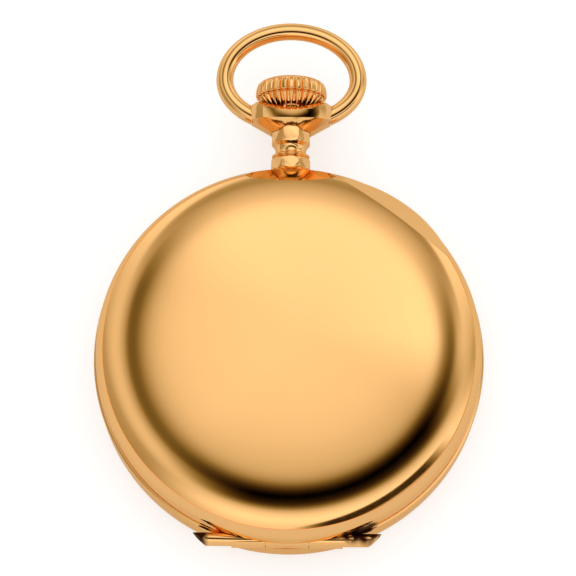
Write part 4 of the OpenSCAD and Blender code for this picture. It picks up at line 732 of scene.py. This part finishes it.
CROWN_LOWER = [(0.0, 0.62), (0.1, 0.68), (0.21, 0.78), (0.33, 0.87), (0.42, 0.935), (0.46, 0.96)]
CROWN_UPPER = [(0.42, 0.97), (0.5, 0.995), (0.58, 1.0), (0.68, 0.995), (0.78, 0.975), (0.87, 0.93), (0.935, 0.855),
               (0.972, 0.75), (0.99, 0.56), (1.0, 0.0)]


def crown_mesh(sizes):
    """Flattened onion: broad flutes above, spear-shaped ones below, a notch where they meet."""
    radius, height = sizes.crown_radius / MM, sizes.crown_height / MM
    count, depth = sizes.flutes, sizes.flute_depth / MM

    def on(line, t):
        for (t0, r0), (t1, r1) in zip(line, line[1:]):
            if t <= t1:
                return r0 + (r1 - r0) * (t - t0) / (t1 - t0)
        return line[-1][1]

    fine_low, fine_up = curve_through(CROWN_LOWER, 6), curve_through(CROWN_UPPER, 8)
    n = count * 16
    side = [abs((count * j / n + 0.5) % 1 - 0.5) * 2 for j in range(n)]

    def seam(s):
        """Where the upper flutes end: rounded, lowest in the middle of each."""
        return 0.46 + 0.045 * s * s

    def low_r(t, s):
        wide = 0.22 + 0.62 * min(1.0, t / 0.4) ** 0.8
        groove = min(1.0, s / wide) ** 3
        notch = max(0.0, 1 - (seam(s) - t) / 0.07) ** 1.5 * (1 - 0.75 * s)
        return on(fine_low, t) * radius - depth * groove * (0.6 + 0.4 * min(1.0, t / 0.12)) - 0.2 * notch

    def up_r(t, s):
        fade = max(0.0, 1 - max(0.0, (t - 0.62) / 0.37) ** 1.7)
        groove = max(0.0, (s - 0.35) / 0.65) ** 1.8
        end = max(0.0, 1 - (t - seam(s)) / 0.035) ** 2
        return on(fine_up, t) * radius - depth * 0.55 * fade * groove - 0.14 * end

    hole_r, hole_y = 0.92, 3.6
    rings = [[(0, CROWN_Y + hole_y, 0)]]
    rings += [[(x, CROWN_Y + y, z) for x, z in circle(n, hole_r)] for y in (hole_y, 0.0)]
    tiers = [(1 - (1 - k / 20) ** 1.3, low_r, 0) for k in range(21)]
    tiers += [((k / 34) ** 1.5, up_r, 1) for k in range(35)]
    for part, line, top in tiers:
        ring = []
        for s, (x, z) in zip(side, circle(n)):
            edge = seam(s)
            t = edge + (0.999 - edge) * part if top else edge * part
            r = max(line(t, s), 0.02)
            ring.append((r * x, CROWN_Y + height * t, r * z))
        rings.append(ring)
    rings.append([(0, CROWN_Y + height, 0)])
    return link(rings_mesh("crown", rings), "crown")


class WATCH_OT_front_cover(bpy.types.Operator):
    """Builds the front cover with its lip, facets and hinge knuckle"""
    bl_idname = "watch.front_cover"
    bl_label = "Front cover"

    def execute(self, context):
        gild(soften(front_cover_mesh(context.scene.watch_sizes), 0.03, 2, 40), "front_cover", 10)
        return {"FINISHED"}


class WATCH_OT_back_cover(bpy.types.Operator):
    """Builds the back cover with its resting face and hinge knuckle"""
    bl_idname = "watch.back_cover"
    bl_label = "Back cover"

    def execute(self, context):
        gild(soften(back_cover_mesh(context.scene.watch_sizes), 0.03, 2, 40), "back_cover", 24)
        return {"FINISHED"}


class WATCH_OT_band(bpy.types.Operator):
    """Eases the edges of the case band, the bezel and the dust cover"""
    bl_idname = "watch.band"
    bl_label = "Case band"

    def execute(self, context):
        for node in ("case_band", "bezel", "cuvette"):
            gild(soften(merged_copy(node, "_gold"), 0.03, 2, 30), node, 30)
        return {"FINISHED"}


class WATCH_OT_pendant(bpy.types.Operator):
    """Builds the pendant: a beaded, eight-sided neck and a faceted head"""
    bl_idname = "watch.pendant"
    bl_label = "Pendant"

    def execute(self, context):
        gild(pendant_mesh(context.scene.watch_sizes), "pendant", 24)
        return {"FINISHED"}


class WATCH_OT_bow(bpy.types.Operator):
    """Builds the bow: an oval of round wire with its two pins"""
    bl_idname = "watch.bow"
    bl_label = "Bow"

    def execute(self, context):
        gild(bow_mesh(context.scene.watch_sizes), "bow", 30)
        return {"FINISHED"}


class WATCH_OT_crown(bpy.types.Operator):
    """Builds the fluted crown"""
    bl_idname = "watch.crown"
    bl_label = "Crown"

    def execute(self, context):
        gild(crown_mesh(context.scene.watch_sizes), "crown", 32)
        return {"FINISHED"}


# Inside of the watch


# Nodes by their material
LOOKS = {
    "ground_steel": """pendant_sleeve stem front_hinge_pin back_hinge_pin cuvette_hinge_pin spring_screws dial_screws
        mainspring barrel_arbor escape_wheel pallet_fork roller regulator crown_wheel ratchet_wheel click
        winding_pinion clutch setting_lever yoke setting_wheel cannon_pinion""",
    "blued_steel": """lift_spring lock_spring case_screws bridge_screws crown_wheel_screw ratchet_screw click_spring
        hairspring hour_hand minute_hand seconds_hand""",
    "frosted_plate": "main_plate",
    "nickel_plate": "barrel_bridge train_bridge balance_cock pallet_bridge",
    "ruby": "jewels",
    "gilt_brass": "barrel barrel_cover centre_wheel third_wheel fourth_wheel minute_wheel hour_wheel balance",
}


class WATCH_OT_works(bpy.types.Operator):
    """Finishes the plates, wheels, screws, springs and jewels of the movement"""
    bl_idname = "watch.works"
    bl_label = "Movement"

    def execute(self, context):
        for look, nodes in LOOKS.items():
            for node in nodes.split():
                piece = smooth(soften(merged_copy(node, "_look"), 0.02, 1, 32), 30)
                dress(piece, finishes()[look], host(node), [node])
        return {"FINISHED"}


DIAL_TOP = 3.0
SECONDS_X, SECONDS_SUNK = 10.3, 0.15
TRACK_R, FIGURES_R, SECONDS_FIGURES_R = 20.05, 16.6, 3.25
MARK_H = 0.012
FIGURE_WIDTH = 0.86  # share of the typeface's own width


def marks_tree(material):
    """Geometry Nodes: equal upright bars round a circle, each pointing to its middle."""
    tree = bpy.data.node_groups.new("marks_on_circle", "GeometryNodeTree")
    face = tree.interface
    for name, kind, value in (("Count", "NodeSocketInt", 60), ("Radius", "NodeSocketFloat", 0.02),
                              ("Length", "NodeSocketFloat", 0.001), ("Width", "NodeSocketFloat", 0.0002),
                              ("Thickness", "NodeSocketFloat", 0.00001)):
        face.new_socket(name, in_out="INPUT", socket_type=kind).default_value = value
    face.new_socket("Geometry", in_out="OUTPUT", socket_type="NodeSocketGeometry")

    def add(kind):
        return tree.nodes.new(kind)

    given, out = add("NodeGroupInput"), add("NodeGroupOutput")
    circle, bar, size = add("GeometryNodeMeshCircle"), add("GeometryNodeMeshCube"), add("ShaderNodeCombineXYZ")
    place, put = add("GeometryNodeInputPosition"), add("GeometryNodeInstanceOnPoints")
    turn = add("FunctionNodeAlignRotationToVector")
    real, dressed = add("GeometryNodeRealizeInstances"), add("GeometryNodeSetMaterial")
    turn.axis = "X"
    turn.pivot_axis = "Z"
    dressed.inputs["Material"].default_value = material
    for a, b in ((given.outputs["Count"], circle.inputs["Vertices"]),
                 (given.outputs["Radius"], circle.inputs["Radius"]),
                 (given.outputs["Length"], size.inputs["X"]), (given.outputs["Width"], size.inputs["Y"]),
                 (given.outputs["Thickness"], size.inputs["Z"]), (size.outputs[0], bar.inputs["Size"]),
                 (place.outputs[0], turn.inputs["Vector"]), (circle.outputs[0], put.inputs["Points"]),
                 (bar.outputs["Mesh"], put.inputs["Instance"]), (turn.outputs[0], put.inputs["Rotation"]),
                 (put.outputs[0], real.inputs[0]), (real.outputs[0], dressed.inputs["Geometry"]),
                 (dressed.outputs[0], out.inputs[0])):
        tree.links.new(a, b)
    return tree


def marks_mesh(tree, name, count, radius, length, width, centre):
    """The bars of one circle as a plain mesh, moved to a centre; all in millimetres."""
    obj = link(bpy.data.meshes.new(name), name)
    made = obj.modifiers.new("marks", "NODES")
    made.node_group = tree
    values = {"Count": count, "Radius": radius * MM, "Length": length * MM, "Width": width * MM,
              "Thickness": MARK_H * MM}
    for item in tree.interface.items_tree:
        if item.item_type == "SOCKET" and item.in_out == "INPUT":
            made[item.identifier] = values[item.name]
    bpy.context.view_layer.update()
    mesh = bpy.data.meshes.new_from_object(obj.evaluated_get(bpy.context.evaluated_depsgraph_get()))
    bpy.data.objects.remove(obj)
    mesh.transform(Matrix.Translation(Vector(centre) * MM))
    return mesh


def numeral_mesh(text, size, centre):
    """Plain figures whose middle lies at a centre, upright for an eye that has the pendant on its right."""
    curve = bpy.data.curves.new("figure", "FONT")
    curve.body, curve.size, curve.extrude = text, size * MM, MARK_H / 2 * MM
    curve.align_x, curve.align_y, curve.resolution_u = "CENTER", "CENTER", 3
    obj = link(curve, "figure")
    mesh = bpy.data.meshes.new_from_object(obj.evaluated_get(bpy.context.evaluated_depsgraph_get()))
    bpy.data.objects.remove(obj)
    xs, ys = [v.co.x for v in mesh.vertices], [v.co.y for v in mesh.vertices]
    middle = Vector(((min(xs) + max(xs)) / 2, (min(ys) + max(ys)) / 2, 0))
    mesh.transform(Matrix.Translation(Vector(centre) * MM) @ Matrix.Rotation(deg(90), 4, "Z") @
                   Matrix.Diagonal((FIGURE_WIDTH, 1.0, 1.0, 1.0)) @ Matrix.Translation(-middle))
    return mesh


def dial_marks(material):
    """Minute track, hour figures and the small seconds' track, lying on the enamel."""
    tree = marks_tree(material)
    face, sunk = MID + DIAL_TOP + MARK_H / 2, MID + DIAL_TOP - SECONDS_SUNK + MARK_H / 2
    meshes = [marks_mesh(tree, "minutes", 60, TRACK_R, 0.8, 0.13, (0, 0, face)),
              marks_mesh(tree, "hours", 12, TRACK_R, 0.8, 0.42, (0, 0, face)),
              marks_mesh(tree, "seconds", 60, 4.35, 0.38, 0.07, (SECONDS_X, 0, sunk)),
              marks_mesh(tree, "fives", 12, 4.25, 0.6, 0.16, (SECONDS_X, 0, sunk))]
    for r, x, h in ((19.62, 0, face), (20.48, 0, face), (4.16, SECONDS_X, sunk), (4.54, SECONDS_X, sunk)):
        width, up = (0.05 if x == 0 else 0.035), MARK_H / 2
        ring = lathe("rail", [(r - width, -up), (r + width, -up), (r + width, up), (r - width, up)], 240, closed=True,
                     lift=0)
        ring.transform(Matrix.Translation(Vector((x, 0, h)) * MM))
        meshes.append(ring)
    hours = [(hour, 30 * hour, 4.3, 0, FIGURES_R, face) for hour in range(1, 13) if hour != 6]
    seconds = [(second, 6 * second, 1.25, SECONDS_X, SECONDS_FIGURES_R, sunk) for second in (15, 30, 45, 60)]
    for figure, turn, size, x, r, h in hours + seconds:
        meshes.append(numeral_mesh(str(figure), size, (x - r * math.cos(deg(turn)), r * math.sin(deg(turn)), h)))
    bm = bmesh.new()
    for mesh in meshes:
        bm.from_mesh(mesh)
    bmesh.ops.remove_doubles(bm, verts=bm.verts, dist=1e-8)
    bmesh.ops.recalc_face_normals(bm, faces=bm.faces)
    joined = bpy.data.meshes.new("dial_marks")
    bm.to_mesh(joined)
    bm.free()
    return link(joined, "dial_marks")


class WATCH_OT_dial(bpy.types.Operator):
    """Builds the enamel dial with its printed tracks and figures, and the domed crystal over it"""
    bl_idname = "watch.dial"
    bl_label = "Dial and crystal"

    def execute(self, context):
        for node, look, slot in (("dial", "white_enamel", "enamel"), ("crystal", "crystal_glass", "glass")):
            dress(smooth(merged_copy(node, "_look"), 30), finishes()[look], host(node), [node])
        ink = finishes()["fired_numerals"]
        marks = dial_marks(ink)
        marks.data.shade_flat()
        dress(marks, ink, host("dial"))
        return {"FINISHED"}


# Stage


MIRRORED_LIFT = 0.4  # share of the floor's lift that mirrors see
AIM_UP, AIM_SIDE = 9.653, -0.2  # what the camera looks at, from the stem's axis
PICTURE_WIDTH = 76.8


class Studio(Tree):
    """Lays out the nodes of the studio that the polished case mirrors."""

    def __init__(self, world):
        super().__init__(world)
        ways = self.add("SeparateXYZ")
        self.link(self.add("TexCoord").outputs["Generated"], ways.inputs[0])
        self.x, self.y = ways.outputs[:2]

    def from_point(self, x, y):
        """How far a direction lies from another, both seen from straight above."""
        dx, dy = self.math("SUBTRACT", self.x, x), self.math("SUBTRACT", self.y, y)
        return self.math("SQRT", self.math("ADD", self.math("MULTIPLY", dx, dx), self.math("MULTIPLY", dy, dy)))

    def ramp(self, value, stops):
        """Brightness along a value, through stops of (value, brightness)."""
        node = self.add("FloatCurve")
        curve = node.mapping.curves[0]
        top = stops[-1][0]
        for i, (at, bright) in enumerate(stops):
            place = (at / top, bright / 2)
            if i < 2:
                curve.points[i].location = place
            else:
                curve.points.new(*place)
        node.mapping.update()
        self.link(self.math("DIVIDE", value, top), node.inputs["Value"])
        return self.math("MULTIPLY", node.outputs[0], 2.0)

    def step(self, value, low, high, a=0.0, b=1.0):
        return self.span(value, low, high, a, b, "SMOOTHSTEP")

    def blend(self, fac, a, b):
        """One value where fac is nothing, the other where it is one."""
        keep = self.math("MULTIPLY", self.math("SUBTRACT", 1.0, fac), a)
        return self.math("ADD", keep, self.math("MULTIPLY", fac, b))


def studio_light(studio):
    """A round soft box over the watch, a dark gap round it and pale walls outside: brightness and tint."""
    cx, cy = 0.02, 0.30
    away = studio.from_point(cx, cy)
    x = studio.math("DIVIDE", studio.math("SUBTRACT", studio.x, cx), away)
    y = studio.math("DIVIDE", studio.math("SUBTRACT", studio.y, cy), away)

    def toward(angle, low, high):
        dot = studio.math("MULTIPLY_ADD", x, math.cos(deg(angle)), studio.math("MULTIPLY", y, math.sin(deg(angle))))
        return studio.step(dot, low, high)

    front = studio.ramp(away, ((0, 1.12), (0.1, 1.03), (0.2, 0.86), (0.3, 0.68), (0.37, 0.42), (0.43, 0.13),
                               (0.49, 0.02), (0.61, 0.012), (0.67, 0.05), (0.73, 0.26), (0.79, 0.7), (0.87, 1.06),
                               (0.96, 1.26), (1.06, 1.05), (1.3, 0.8)))
    right = studio.ramp(away, ((0, 1.14), (0.15, 1.3), (0.3, 1.33), (0.36, 1.12), (0.42, 0.66), (0.48, 0.32),
                               (0.54, 0.2), (0.6, 0.42), (0.66, 0.74), (0.72, 0.84), (0.8, 0.72), (0.88, 0.5),
                               (1.3, 0.5)))
    left = studio.ramp(away, ((0, 1.14), (0.12, 1.06), (0.22, 0.93), (0.3, 0.75), (0.36, 0.55), (0.42, 0.34),
                              (0.48, 0.19), (0.54, 0.19), (0.6, 0.42), (0.66, 0.66), (0.75, 0.85), (0.84, 0.72),
                              (0.92, 0.5), (1.3, 0.5)))
    top = studio.ramp(away, ((0, 1.14), (0.16, 1.3), (0.28, 1.28), (0.36, 1.1), (0.42, 0.92), (0.5, 0.76),
                             (0.6, 0.54), (0.66, 0.42), (0.69, 0.6), (0.73, 1.15), (1.3, 1.25)))
    sides = studio.blend(toward(0, -0.5, 0.5), left, right)
    light = studio.blend(toward(290, 0.3, 0.85), studio.blend(toward(80, 0.1, 0.85), sides, top), front)
    # a dark strip low on the right
    out, middle = studio.from_point(-0.437, 0.58), studio.from_point(0.0, 0.0)
    strip = studio.math("MULTIPLY", studio.step(out, 1.425, 1.45), studio.step(out, 1.53, 1.57, 1.0, 0.0))
    turn = studio.math("MULTIPLY_ADD", studio.x, 0.64, studio.math("MULTIPLY", studio.y, -0.768))
    strip = studio.math("MULTIPLY", strip, studio.step(studio.math("DIVIDE", turn, middle), 0.76, 0.93, 0.0, 0.96))
    light = studio.math("MULTIPLY", light, studio.math("SUBTRACT", 1.0, strip))
    tint = studio.add("ValToRGB")
    studio.link(light, tint.inputs[0])
    stops = ((0.0, (1, 0.6, 0.2, 1)), (0.2, (1, 0.84, 0.32, 1)), (0.6, (1, 0.97, 0.82, 1)), (1.0, (1, 1, 1, 1)))
    for at, _ in stops[1:-1]:
        tint.color_ramp.elements.new(at)
    for element, (at, colour) in zip(tint.color_ramp.elements, stops):
        element.position, element.color = at, colour
    return light, tint.outputs[0]


def studio_world():
    """The studio for mirrored rays; the camera, glass and matt surfaces get plain white."""
    world = bpy.data.worlds.new("studio")
    studio = Studio(world)
    light, tint = studio_light(studio)
    lit, pale, pick = (studio.add(kind) for kind in ("Background", "Background", "MixShader"))
    pale.inputs["Color"].default_value = (1, 1, 1, 1)
    rays = studio.add("LightPath").outputs
    plain_for = studio.math("MAXIMUM", rays["Is Camera Ray"], rays["Is Transmission Ray"])
    for out, into in ((light, lit.inputs["Strength"]), (tint, lit.inputs["Color"]),
                      (studio.math("MAXIMUM", plain_for, rays["Is Diffuse Ray"]), pick.inputs[0]),
                      (lit.outputs[0], pick.inputs[1]), (pale.outputs[0], pick.inputs[2]),
                      (pick.outputs[0], studio.add("OutputWorld").inputs["Surface"])):
        studio.link(out, into)
    return world


def floor_material(stage):
    """Pale and matt; the camera sees it lifted to white, mirrors see it darker, and its shadow stays."""
    n = Finish("pale_floor", Base_Color=(*stage.floor, 1), Roughness=0.9, Specular_IOR_Level=0.0,
               Emission_Color=(1, 1, 1, 1))
    rays = n.add("LightPath").outputs
    seen = n.math("MAXIMUM", rays["Is Camera Ray"], n.math("MULTIPLY", rays["Is Glossy Ray"], MIRRORED_LIFT))
    seen = n.math("MAXIMUM", seen, rays["Is Transmission Ray"])
    n.set(Emission_Strength=n.math("MULTIPLY", seen, stage.lift))
    return n.owner


class WATCH_OT_stage(bpy.types.Operator):
    """Sets the pale floor, the studio and the camera"""
    bl_idname = "watch.stage"
    bl_label = "Stage"

    def execute(self, context):
        scene, stage = context.scene, context.scene.watch_stage
        mesh = bpy.data.meshes.new("floor")
        mesh.from_pydata([(-3, -3, 0), (3, -3, 0), (3, 3, 0), (-3, 3, 0)], [], [[0, 1, 2, 3]])
        floor = link(mesh, "floor")
        mesh.materials.append(floor_material(stage))
        floor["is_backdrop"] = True
        scene.world = studio_world()

        back = Vector((0, -math.sin(stage.tilt), math.cos(stage.tilt)))
        up = Vector((0, math.cos(stage.tilt), math.sin(stage.tilt)))
        target = Vector((0, 0, MID * MM)) + up * AIM_UP * MM + Vector((AIM_SIDE * MM, 0, 0))
        camera = link(bpy.data.cameras.new("camera"), "camera")
        camera.data.lens = camera.data.sensor_width * stage.distance / (PICTURE_WIDTH * MM)
        turn = Matrix.Rotation(stage.lean, 3, back)
        axes = Matrix((turn @ Vector((1, 0, 0)), turn @ up, back)).transposed().to_4x4()
        camera.matrix_world = Matrix.Translation(target + back * stage.distance) @ axes
        scene.camera = camera
        scene.view_settings.view_transform = "Standard"
        return {"FINISHED"}


OPERATORS = (WATCH_OT_front_cover, WATCH_OT_back_cover, WATCH_OT_band, WATCH_OT_pendant, WATCH_OT_bow,
             WATCH_OT_crown, WATCH_OT_works, WATCH_OT_dial, WATCH_OT_stage)


class WATCH_PT_panel(bpy.types.Panel):
    """Lists the watch's builders and its settings"""
    bl_idname = "WATCH_PT_panel"
    bl_label = "Pocket watch"
    bl_space_type = "VIEW_3D"
    bl_region_type = "UI"
    bl_category = "Watch"

    def draw(self, context):
        layout = self.layout
        for settings in (context.scene.watch_sizes, context.scene.watch_finish, context.scene.watch_stage):
            column = layout.column(align=True)
            for prop in settings.bl_rna.properties:
                if prop.identifier not in ("rna_type", "name"):
                    column.prop(settings, prop.identifier)
        for operator in OPERATORS:
            layout.operator(operator.bl_idname)


SETTINGS = {"watch_sizes": WatchSizes, "watch_finish": WatchFinish, "watch_stage": WatchStage}
CLASSES = (*SETTINGS.values(), *OPERATORS, WATCH_PT_panel)


def register():
    for cls in CLASSES:
        bpy.utils.register_class(cls)
    for name, cls in SETTINGS.items():
        setattr(bpy.types.Scene, name, bpy.props.PointerProperty(type=cls))


def unregister():
    for name in SETTINGS:
        delattr(bpy.types.Scene, name)
    for cls in reversed(CLASSES):
        bpy.utils.unregister_class(cls)


def main():
    register()
    bpy.ops.watch.front_cover()
    bpy.ops.watch.back_cover()
    bpy.ops.watch.band()
    bpy.ops.watch.pendant()
    bpy.ops.watch.bow()
    bpy.ops.watch.crown()
    bpy.ops.watch.works()
    bpy.ops.watch.dial()
    bpy.ops.watch.stage()
    {"cad": plain(cad_box), "look": plain(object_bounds())}


def plain(value):
    """Lists of numbers out of vectors and tuples."""
    if isinstance(value, (int, float)):
        return value
    return [plain(v) for v in value]


if __name__ == "__main__":
    main()
